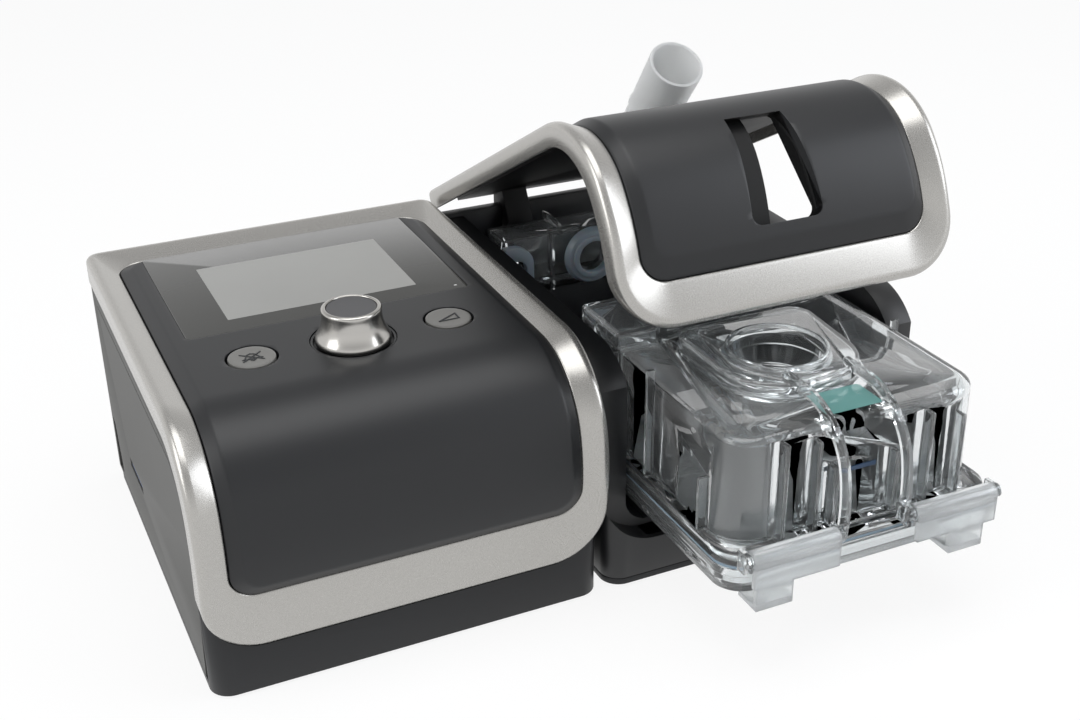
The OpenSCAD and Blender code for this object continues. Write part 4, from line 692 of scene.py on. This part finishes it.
def strokes(name, lines, x, width, body):
    # flat marks on the key caps, each line a string of short bars
    bm = bmesh.new()
    for line in lines:
        for (ax, ay), (bx, by) in zip(line, line[1:]):
            length = math.hypot(bx - ax, by - ay)
            ux, uy = (bx - ax) / length * width, (by - ay) / length * width
            nx, ny = -uy / 2, ux / 2
            ex, ey = ux * marks["overlap"], uy * marks["overlap"]
            corners = [(ax - ex + nx, ay - ey + ny), (bx + ex + nx, by + ey + ny),
                       (bx + ex - nx, by + ey - ny), (ax - ex - nx, ay - ey - ny)]
            closeSolid(bm, [[bm.verts.new(onTop(x + cx, keys["along"] + cy, h)) for cx, cy in corners]
                            for h in (marks["low"], marks["high"])])
    finishPiece(name, bm, markInk, body)


for x, node, body in ((leftKeyX, "mute_button", "mute_key"), (rightKeyX, "ramp_button", "ramp_key")):
    bm = lathe(keys["cap"], onTop(x, keys["along"], 0), topNormal)
    finishPiece(node + "_cap", bm, keyPaint, body, (node,))
strokes("mute_mark", [marks["bell"], marks["clapper"], *marks["cross"]], leftKeyX, 0.5, "mute_key")
strokes("ramp_mark", [marks["ramp"]], rightKeyX, 0.6, "ramp_key")
print("controls made")

# the water chamber is drawn where it is when pushed home, and comes out by "out"
chamber = {
    "out": 70.0, "x0": 167.5, "x1": 282.5, "y0": 8.7, "y1": 124.0, "corner": 12.0,
    "sideIn": 4.0, "frontIn": 7.0, "bodyCorner": 13.0, "jointZ": 43.0, "flangeZ": 48.0, "topZ": 88.0,
    "wall": 2.0, "draft": 0.7, "topRadius": 2.6, "innerTopRadius": 1.6,
}
platform = {
    "z": 93.0, "sunk": 1.2, "radius": 1.4, "innerSunk": 3.0, "innerRadius": 0.8, "draft": 0.2,
    "corners": [(192.5, 37.0, 24), (247.5, 37.0, 24), (252.0, 96.5, 9), (192.5, 96.5, 9)],
}
tower = {
    "x": 220.0, "y": 64.5, "radius": 19.5, "wall": 1.3, "top": 95.0, "root": 70.0, "boreFoot": 86.0,
    "boreTop": 99.0, "tubeTop": 85.9, "tubeMiddle": 80.0, "tubeFoot": 62.0,
}
nozzle = {"x": 214.0, "z": 80.0, "end": 131.7, "radius": 9.5, "bore": 7.5, "root": 6.0, "lip": 0.6}
inlet = {"x": 176.0, "bore": 4.5, "deep": 12.0, "wide": 20.0, "corner": 2.5, "rise": 1.0, "radius": 1.5}
arch = {
    "x": (211.0, 237.0), "wide": 2.4, "deep": 9.0, "thick": 3.6, "rear": 46.0, "steps": 40, "postOut": 3.0,
    "postTop": 72.0, "edge": 0.6, "over": 4.0, "under": 3.0,
}
clipPivot = {
    "length": 35.0, "in": 6.0, "out": 4.1, "z": 49.5, "rod": 1.3, "disc": 2.6, "cheek": 2.0, "overhang": 2.3,
}
bodyX0, bodyX1 = chamber["x0"] + chamber["sideIn"], chamber["x1"] - chamber["sideIn"]
bodyY0, bodyY1 = chamber["y0"] + chamber["frontIn"], chamber["y1"] - chamber["sideIn"]
# upright ribs outside the walls, as from and to in x, y and z
ribIn, ribOut, ribFoot = 1.0, 4.0, 47
leftWall, rightWall, frontWall = bodyX0 + ribIn, bodyX1 - ribIn, (bodyY0 - ribOut, bodyY0 + ribIn)
ribs = [
    (168.9, leftWall, 71.0, 72.6, ribFoot, 92), (rightWall, 281.0, 71.0, 72.6, ribFoot, 90),
    (168.9, leftWall, 98.0, 99.6, ribFoot, 88), (rightWall, 281.0, 98.0, 99.6, ribFoot, 84),
    (167.9, leftWall, 31.0, 32.6, ribFoot, 69), (rightWall, 282.1, 31.0, 32.6, ribFoot, 69),
    (190.2, 192.0, *frontWall, ribFoot, 86), (203.6, 205.4, *frontWall, ribFoot, 84),
    (251.0, 252.8, *frontWall, ribFoot, 84), (265.0, 266.8, *frontWall, ribFoot, 80),
]


def softPolygon(corners, inset, steps=7):
    # a convex outline given as (x, y, radius) corners, its edges moved in by inset and its corners rounded
    count = len(corners)
    lines = []
    for i in range(count):
        start, end = Vector(corners[i][:2]), Vector(corners[(i + 1) % count][:2])
        along = (end - start).normalized()
        lines.append((start + Vector((-along.y, along.x)) * inset, along))
    points = []
    for i in range(count):
        (a, u), (b, v) = lines[i - 1], lines[i]
        turn = math.atan2(u.x * v.y - u.y * v.x, u.dot(v))
        corner = a + u * ((b - a).x * v.y - (b - a).y * v.x) / (u.x * v.y - u.y * v.x)
        radius = max(corners[i][2] - inset, leastRadius)
        start = corner - u * radius * math.tan(turn / 2)
        centre = start + Vector((-u.y, u.x)) * radius
        arm = start - centre
        for k in range(steps + 1):
            angle = turn * k / steps
            points.append((centre.x + arm.x * math.cos(angle) - arm.y * math.sin(angle),
                           centre.y + arm.x * math.sin(angle) + arm.y * math.cos(angle)))
    return points


def boxCorners(x0, y0, x1, y1, radius):
    return [(x0, y0, radius), (x1, y0, radius), (x1, y1, radius), (x0, y1, radius)]


def chamberPoint(x, y, z):
    return place(x, y - chamber["out"], z)


def loft(bm, levels):
    # a solid through outlines of as many points each, given as (outline, height)
    closeSolid(bm, [[bm.verts.new(chamberPoint(x, y, z)) for x, y in outline] for outline, z in levels])


def roundTopped(bm, corners, low, high, radius, draft=0.0, shrink=0.0):
    # a block with its walls leaning in and a round upper edge
    levels = [(softPolygon(corners, shrink), low), (softPolygon(corners, shrink + draft), high - radius)]
    for k in range(1, 6):
        angle = math.pi / 2 * k / 5
        levels.append((softPolygon(corners, shrink + draft + radius * (1 - math.cos(angle))),
                       high - radius + radius * math.sin(angle)))
    loft(bm, levels)


def plate(bm, x0, x1, y0, y1, z0, z1, radius):
    roundTopped(bm, boxCorners(x0, y0, x1, y1, radius), z0, z1, radius)


flangeCorners = boxCorners(chamber["x0"], chamber["y0"], chamber["x1"], chamber["y1"], chamber["corner"])
bodyCorners = boxCorners(bodyX0, bodyY0, bodyX1, bodyY1, chamber["bodyCorner"])
inletCorners = boxCorners(bodyX0, bodyY1 - inlet["wide"], bodyX0 + inlet["wide"], nozzle["end"],
                          inlet["corner"])
jointZ, flangeZ, topZ, wall = chamber["jointZ"], chamber["flangeZ"], chamber["topZ"], chamber["wall"]
inletTop = platform["z"] + inlet["rise"]
overlap = 1.0  # how far the solids reach into each other

# the outer form: solids that overlap, which the cut below makes one
shell = bmesh.new()
flangeEdge = [(0.5, jointZ), (0.0, jointZ + 0.5), (0.0, flangeZ - 0.8), (0.25, flangeZ - 0.25),
              (0.8, flangeZ)]
loft(shell, [(softPolygon(flangeCorners, inset), z) for inset, z in flangeEdge])
roundTopped(shell, bodyCorners, flangeZ - overlap, topZ, chamber["topRadius"], chamber["draft"])
roundTopped(shell, platform["corners"], topZ - platform["sunk"], platform["z"], platform["radius"],
            platform["draft"])
roundTopped(shell, inletCorners, flangeZ - overlap, inletTop, inlet["radius"], platform["draft"])
towerSpot = chamberPoint(tower["x"], tower["y"], 0)
towerR, towerIn, towerTop = tower["radius"], tower["radius"] - tower["wall"], tower["top"]
lathe([(0, tower["root"]), (towerR, tower["root"]), (towerR, towerTop - 0.8),
       (towerR - 0.25, towerTop - 0.25), (towerR - 0.8, towerTop), (0, towerTop)],
      towerSpot, straightUp, bm=shell)
nozzleFoot = chamberPoint(nozzle["x"], bodyY1 - nozzle["root"], nozzle["z"])
nozzleLong, nozzleR, lip = nozzle["end"] - bodyY1 + nozzle["root"], nozzle["radius"], nozzle["lip"]
lathe([(0, 0), (nozzleR, 0), (nozzleR, nozzleLong - lip), (nozzleR - lip, nozzleLong), (0, nozzleLong)],
      nozzleFoot, toTheRear, 64, shell)

# two grip arches that follow the housing's profile down the front
archTop = lengthAtHeight(topZ + arch["over"])
while profilePoint(archTop, arch["deep"])[0] < arch["rear"]:
    archTop -= 1
archFoot = lengthAtHeight(flangeZ - arch["under"])
along = [archTop + (archFoot - archTop) * k / arch["steps"] for k in range(arch["steps"] + 1)]
archOutline = [profilePoint(t, arch["deep"]) for t in along]
archOutline += [profilePoint(t, arch["deep"] + arch["thick"]) for t in reversed(along)]
for x in arch["x"]:
    prism(archOutline, x, x + arch["wide"], "x", shell, chamber["out"])
    plate(shell, x, x + arch["wide"], chamber["y0"] + arch["postOut"], bodyY0 + overlap,
          flangeZ - overlap, arch["postTop"], arch["edge"])
for rib in ribs:
    plate(shell, *rib, arch["edge"])
# a rod and two cheeks for each clip to turn on
for x0 in (chamber["x0"] + clipPivot["in"], chamber["x1"] - clipPivot["in"] - clipPivot["length"]):
    pivotY, pivotZ = chamber["y0"] - clipPivot["out"], clipPivot["z"]
    disc, rod, thick, over = clipPivot["disc"], clipPivot["rod"], clipPivot["cheek"], clipPivot["overhang"]
    long = clipPivot["length"] + 2 * over
    lathe([(0, 0), (disc, 0), (disc, thick), (rod, thick), (rod, long - thick), (disc, long - thick),
           (disc, long), (0, long)], chamberPoint(x0 - over, pivotY, pivotZ), toTheRight, 40, shell)
    for x in (x0 - over, x0 + clipPivot["length"] + over - thick):
        plate(shell, x, x + thick, pivotY, chamber["y0"] + overlap, jointZ + overlap, pivotZ + disc, 0.5)

# the space inside, drawn in the same way, and the port's bore
hollow = bmesh.new()
roundTopped(hollow, bodyCorners, jointZ - overlap, topZ - wall, chamber["innerTopRadius"],
            chamber["draft"], wall)
roundTopped(hollow, platform["corners"], topZ - platform["innerSunk"], platform["z"] - wall,
            platform["innerRadius"], platform["draft"], wall)
roundTopped(hollow, inletCorners, jointZ - overlap, inletTop - wall, platform["innerRadius"],
            platform["draft"], wall)
lathe([(0, -cutterOver), (nozzle["bore"], -cutterOver), (nozzle["bore"], nozzleLong + overlap),
       (0, nozzleLong + overlap)],
      nozzleFoot, toTheRear, 64, hollow)
lathe([(0, -cutterOver), (inlet["bore"], -cutterOver), (inlet["bore"], inlet["deep"]),
       (0, inlet["deep"])],
      chamberPoint(inlet["x"], nozzle["end"] - nozzle["root"], nozzle["z"]), toTheRear, 48, hollow)
bore = lathe([(0, tower["boreFoot"]), (towerIn, tower["boreFoot"]), (towerIn, tower["boreTop"]),
              (0, tower["boreTop"])], towerSpot, straightUp)
chamberShell = finishPiece("chamber_shell", shell, clearPc, "chamber", ("chamber_body",))
cutPiece(chamberShell, [asCutter(hollow, False), asCutter(bore, False)], True)
shadeByAngle(chamberShell, 32)

# the filling tube that hangs under the port, and the upright plates behind the walls
tubeTop, tubeMiddle, tubeFoot = tower["tubeTop"], tower["tubeMiddle"], tower["tubeFoot"]
tube = [(0.02, tubeTop), (0.02, tubeMiddle), (-0.6, tubeFoot + 1), (-1.0, tubeFoot), (-2.0, tubeFoot),
        (-2.2, tubeFoot + 1), (-1.6, tubeMiddle), (-1.5, tubeTop)]
innerPlates = [
    # outline in (x, z), front and rear
    ([(250.0, 48.0), (270.0, 48.0), (270.0, 72.0), (266.0, 81.0), (250.0, 84.0)], 24.0, 25.4),
    ([(174.3, 48.0), (182.0, 58.0), (182.0, 85.5), (174.3, 85.5)], 71.0, 72.4),
    ([(262.0, 56.0), (275.7, 56.0), (275.7, 85.5), (262.0, 85.5)], 84.0, 85.4),
]
inside = lathe([(towerIn + offset, z) for offset, z in tube], towerSpot, straightUp)
bmesh.ops.remove_doubles(inside, verts=inside.verts, dist=1e-6)
for outline, front, rear in innerPlates:
    prism(outline, front, rear, "y", inside, chamber["out"])
finishPiece("chamber_inner_plates", inside, clearPc, "chamber")
# a bare teal film on the shell's top, between the arches
patch = {"x0": 214.2, "x1": 236.2, "y0": 21.0, "y1": 36.2, "corner": 1.5, "thick": 0.15, "lift": 0.02}
bm = bmesh.new()
film = softPolygon(boxCorners(patch["x0"], patch["y0"], patch["x1"], patch["y1"], patch["corner"]), 0)
loft(bm, [(film, topZ + patch["lift"]), (film, topZ + patch["lift"] + patch["thick"])])
finishPiece("teal_film", bm, tealInk, "chamber")
print("chamber made")

# the outlet elbow: one tube swept through a stub, a bend and a run, with a collar before its mouth
elbow = {
    "x": 276.4, "z": 79.9, "start": 162.0, "bendY": 194.5, "bendR": 16.0, "turn": math.radians(128.0),
    "run": 57.0, "tubeR": 12.0, "bendTubeR": 11.65, "boreR": 9.4, "bendBoreR": 9.2, "mouthDeep": 32.0,
    "bendSteps": 30, "sides": 72,
    # distance from the collar's middle, or from the mouth's end, and radius
    "collar": [(-2.2, 12.0), (-1.4, 12.3), (-0.8, 12.75), (0, 12.9), (0.8, 12.8), (1.5, 12.5)],
    "mouth": [(-0.9, 13.1), (-0.4, 13.1), (-0.1, 12.95), (0, 12.6), (0, 11.8), (-0.15, 11.5), (-0.6, 11.3),
              (-32.0, 11.3), (-32.6, 9.6)],
}
stubLong = elbow["bendY"] - elbow["start"]
bendLong = elbow["turn"] * elbow["bendR"]
elbowLong = stubLong + bendLong + elbow["run"]
collarAt = elbowLong - elbow["mouthDeep"] - 2


def elbowSpot(distance):
    # centre and direction at a distance along the tube
    angle = min(max(distance - stubLong, 0) / elbow["bendR"], elbow["turn"])
    beyond = max(distance - stubLong - bendLong, 0)
    y = (elbow["start"] + min(distance, stubLong) + elbow["bendR"] * math.sin(angle)
         + beyond * math.cos(angle))
    z = elbow["z"] + elbow["bendR"] * (1 - math.cos(angle)) + beyond * math.sin(angle)
    return y, z, angle


bend = [stubLong + bendLong * k / elbow["bendSteps"] for k in range(elbow["bendSteps"] + 1)]
# distance along the tube and radius, up the outside and back down the bore
tubeShape = [(0, 11.6), (0.4, elbow["tubeR"]), (stubLong - 1, elbow["tubeR"])]
tubeShape += [(distance, elbow["bendTubeR"]) for distance in bend]
tubeShape += [(bend[-1] + 2, elbow["tubeR"])]
tubeShape += [(collarAt + offset, radius) for offset, radius in elbow["collar"]]
tubeShape += [(elbowLong + offset, radius) for offset, radius in elbow["mouth"]]
tubeShape += [(bend[-1], elbow["boreR"])]
tubeShape += [(distance, elbow["bendBoreR"]) for distance in bend[-2:0:-1]]
tubeShape += [(stubLong, elbow["boreR"]), (0.4, 9.5), (0, 9.8)]
bm = bmesh.new()
rings = []
for distance, radius in tubeShape:
    y, z, angle = elbowSpot(distance)
    ring = []
    for k in range(elbow["sides"]):
        t = 2 * math.pi * k / elbow["sides"]
        sideStep, rise = radius * math.cos(t), radius * math.sin(t)
        spot = (elbow["x"] + sideStep, y - rise * math.sin(angle), z + rise * math.cos(angle))
        ring.append(bm.verts.new(place(*spot)))
    rings.append(ring)
joinRings(bm, rings, True)
finishPiece("elbow_tube", bm, tubePc, "elbow", ("outlet_elbow",), sharp=45)
print("elbow made")


def softCopy(node, material, body, slot, width):
    # a CAD node's own shape, with its edges rounded by width
    bm = bmesh.new()
    bm.from_mesh(frame["nodes"][node].data)
    bmesh.ops.remove_doubles(bm, verts=bm.verts, dist=2e-6)
    bmesh.ops.dissolve_limit(bm, angle_limit=math.radians(0.4), verts=bm.verts, edges=bm.edges)
    piece = finishPiece(node + "_soft", bm, material, body, (node,))
    softenEdges(piece, width)
    return piece


softCopy("main_base", apronAbs, "housing", "charcoal_plastic", 0.8)
# the side shell takes the charcoal moulding painted lighter grey for the light on its walls
mainShell = softCopy("main_shell", shellAbsPaintedLight, "housing", "shell_grey", 0.4)
# a recess at the lower rear corner of the left side, and its black floor, as (y, z) points
recess = {
    "outline": [(163.0, 6.5), (173.2, 4.8), (173.2, 29.5), (168.2, 28.0)], "deep": 2.4,
    "floor": [(163.1, 6.6), (173.1, 4.9), (173.1, 29.4), (168.1, 27.9)], "floorFrom": 2.2, "floorTo": 2.6,
}
cutPiece(mainShell, [asCutter(prism(recess["outline"], -cutterOver, recess["deep"], "x"))])
bm = prism(recess["floor"], recess["floorFrom"], recess["floorTo"], "x")
finishPiece("side_recess_liner", bm, blackAbs, "housing")
# a moulded groove along each side that thins out at its front end
groove = {"under": 19.0, "wide": 0.6, "cut": 0.45, "rear": 12.0, "footZ": 58.0, "side": 1.0, "steps": 60,
          "taper": 5.0, "least": 0.05}
grooveEnd = lengthAtHeight(groove["footZ"])
upper, lower = [], []
for k in range(groove["steps"] + 1):
    share = k / groove["steps"]
    s = groove["rear"] + (grooveEnd - groove["rear"]) * share
    wide = groove["wide"] * min(1, groove["taper"] * (1 - share) + groove["least"])
    upper.append(profilePoint(s, groove["under"]))
    lower.append(profilePoint(s, groove["under"] + wide))
band, reach = upper + lower[::-1], groove["side"] + groove["cut"]
cutPiece(mainShell, [asCutter(prism(band, -cutterOver, reach, "x")),
                     asCutter(prism(band, mainWidth - reach, mainWidth + cutterOver, "x"))])
softened = [
    # node, material, body, slot, edge in mm
    ("humidifier_base", blackAbs, "housing", "black_plastic", 0.6),
    ("humidifier_bottom", apronAbs, "housing", "charcoal_plastic", 0.4),
    ("partition", blackAbs, "housing", "black_plastic", 0.4),
    # the lid's liner takes the inner black, painted darker for the shade under the lid
    ("lid_liner", innerBlackPaintedShade, "lid", "black_plastic", 0.4),
    ("inlet_seal", silicone, "housing", "silicone", 0.3),
    ("outlet_seal", silicone, "housing", "silicone", 0.3),
    ("air_duct", clearPc, "housing", "clear_plastic", 0.3),
    ("chamber_tray", clearPc, "chamber", "clear_plastic", 0.5),
    ("chamber_gasket", gasketSilicone, "chamber", "gasket_silicone", 0.2),
    ("left_clip", frostPc, "left_latch", "clip_plastic", 0.4),
    ("right_clip", frostPc, "right_latch", "clip_plastic", 0.4),
]
for row in softened:
    softCopy(*row)
print("softened pieces made")

# the CAD nodes that show as they are get the material of their slot
slotMaterials = {
    "rubber_black": rubber, "steel": steel, "aluminium": aluminium, "white_plastic": whiteAbs,
    "foam": foam, "filter_felt": felt, "black_plastic": blackAbs, "charcoal_plastic": apronAbs,
    "board_green": boardLacquer, "silicone": silicone, "card_blue": cardAbs, "mark_ink": levelInk,
    "clear_plastic": clearPc, "display_face": lcdFacePaintedReflection, "display_glass": lensAcrylic,
    "gasket_silicone": gasketSilicone, "clip_plastic": frostPc, "silver_paint": silverPaint,
    "shell_grey": shellAbsPaintedLight, "satin_chrome": chromePlate, "button_grey": keyPaint,
}
for subpart in frame["record"]["subparts"]:
    node = frame["nodes"][subpart["node"]]
    material = slotMaterials[subpart["material_slot"]]
    if not node.material_slots:
        node.data.materials.append(material)
    for materialSlot in node.material_slots:
        materialSlot.material = material
print("CAD nodes dressed")

# floor, world and lamps
studio = {
    "floorSide": 6.0, "floorColour": "#fdfdfd", "white": "#ffffff",
    "backdrop": 0.88,                   # share of plain white in what is seen of the floor
    "horizon": 1.0, "overhead": 0.42,   # brightness of the world that metal and clear plastic show
    "lowest": 0.25, "highest": 0.8,     # heights of the direction between which it darkens
    "fill": 0.42, "fillColour": "#f2f4f7", "bounces": 32,
}
softboxes = [
    # name, place, point it faces, width, height, watts, colour
    ("top_softbox", (0.0, -0.1, 1.3), (0, 0, 0.05), 1.2, 0.8, 9, "#ffffff"),
    ("left_softbox", (-1.2, -0.1, 0.8), (0, 0, 0.08), 0.7, 0.9, 6, "#ffffff"),
    ("right_softbox", (1.1, -0.7, 0.8), (0, 0, 0.08), 0.6, 0.9, 6, "#f4f8ff"),
]


def seenDirectly(owner):
    # 1 for what the camera sees, also in metal and through clear plastic; 0 for what lights the object
    path = addNode(owner, "ShaderNodeLightPath", {})
    straight = addNode(owner, "ShaderNodeMath", {"operation": "MAXIMUM"},
                       {0: path.outputs["Is Camera Ray"], 1: path.outputs["Is Transmission Ray"]})
    seen = addNode(owner, "ShaderNodeMath", {"operation": "MAXIMUM"},
                   {0: straight.outputs[0], 1: path.outputs["Is Glossy Ray"]})
    return seen.outputs[0]


bm = bmesh.new()
bmesh.ops.create_grid(bm, x_segments=2, y_segments=2, size=studio["floorSide"])
floor = meshObject("floor", bm)
floorMaterial = newMaterial("white studio floor")
floorDiffuse = addNode(floorMaterial, "ShaderNodeBsdfDiffuse", {"Color": toLinear(studio["floorColour"])})
floorGlow = addNode(floorMaterial, "ShaderNodeEmission",
                    {"Color": toLinear(studio["white"]), "Strength": 1.0})
glowShare = addNode(floorMaterial, "ShaderNodeMath", {"operation": "MULTIPLY", 1: studio["backdrop"]},
                    {0: seenDirectly(floorMaterial)})
floorMix = addNode(floorMaterial, "ShaderNodeMixShader", {},
                   {"Fac": glowShare.outputs[0], 1: floorDiffuse.outputs[0], 2: floorGlow.outputs[0]})
addNode(floorMaterial, "ShaderNodeOutputMaterial", {}, {"Surface": floorMix.outputs[0]})
floor.data.materials.append(floorMaterial)

world = bpy.data.worlds.new("studio")
bpy.context.scene.world = world
world.use_nodes = True
world.node_tree.nodes.clear()
direction = addNode(world, "ShaderNodeTexCoord", {})
split = addNode(world, "ShaderNodeSeparateXYZ", {}, {"Vector": direction.outputs["Generated"]})
shade = addNode(world, "ShaderNodeMapRange",
                {"From Min": studio["lowest"], "From Max": studio["highest"],
                 "To Min": studio["horizon"], "To Max": studio["overhead"]},
                {"Value": split.outputs["Z"]})
plain = addNode(world, "ShaderNodeBackground", {"Color": toLinear(studio["white"])},
                {"Strength": shade.outputs["Result"]})
fill = addNode(world, "ShaderNodeBackground",
               {"Color": toLinear(studio["fillColour"]), "Strength": studio["fill"]})
mixed = addNode(world, "ShaderNodeMixShader", {},
                {"Fac": seenDirectly(world), 1: fill.outputs[0], 2: plain.outputs[0]})
addNode(world, "ShaderNodeOutputWorld", {}, {"Surface": mixed.outputs[0]})
# the chamber has many clear walls behind each other, so light may pass more of them than by default
cycles = bpy.context.scene.cycles
cycles.max_bounces = studio["bounces"]
cycles.transmission_bounces = studio["bounces"]
cycles.transparent_max_bounces = studio["bounces"]

for name, spot, target, width, height, watts, colour in softboxes:
    light = bpy.data.lights.new(name, "AREA")
    light.shape = "RECTANGLE"
    light.size, light.size_y, light.energy = width, height, watts
    light.color = toLinear(colour)[:3]
    lampObject = bpy.data.objects.new(name, light)
    bpy.context.scene.collection.objects.link(lampObject)
    lampObject.location = spot
    lampObject.rotation_mode = "QUATERNION"
    lampObject.rotation_quaternion = (Vector(target) - Vector(spot)).to_track_quat("-Z", "Y")
bpy.context.scene.view_settings.view_transform = "Standard"
print("studio set")
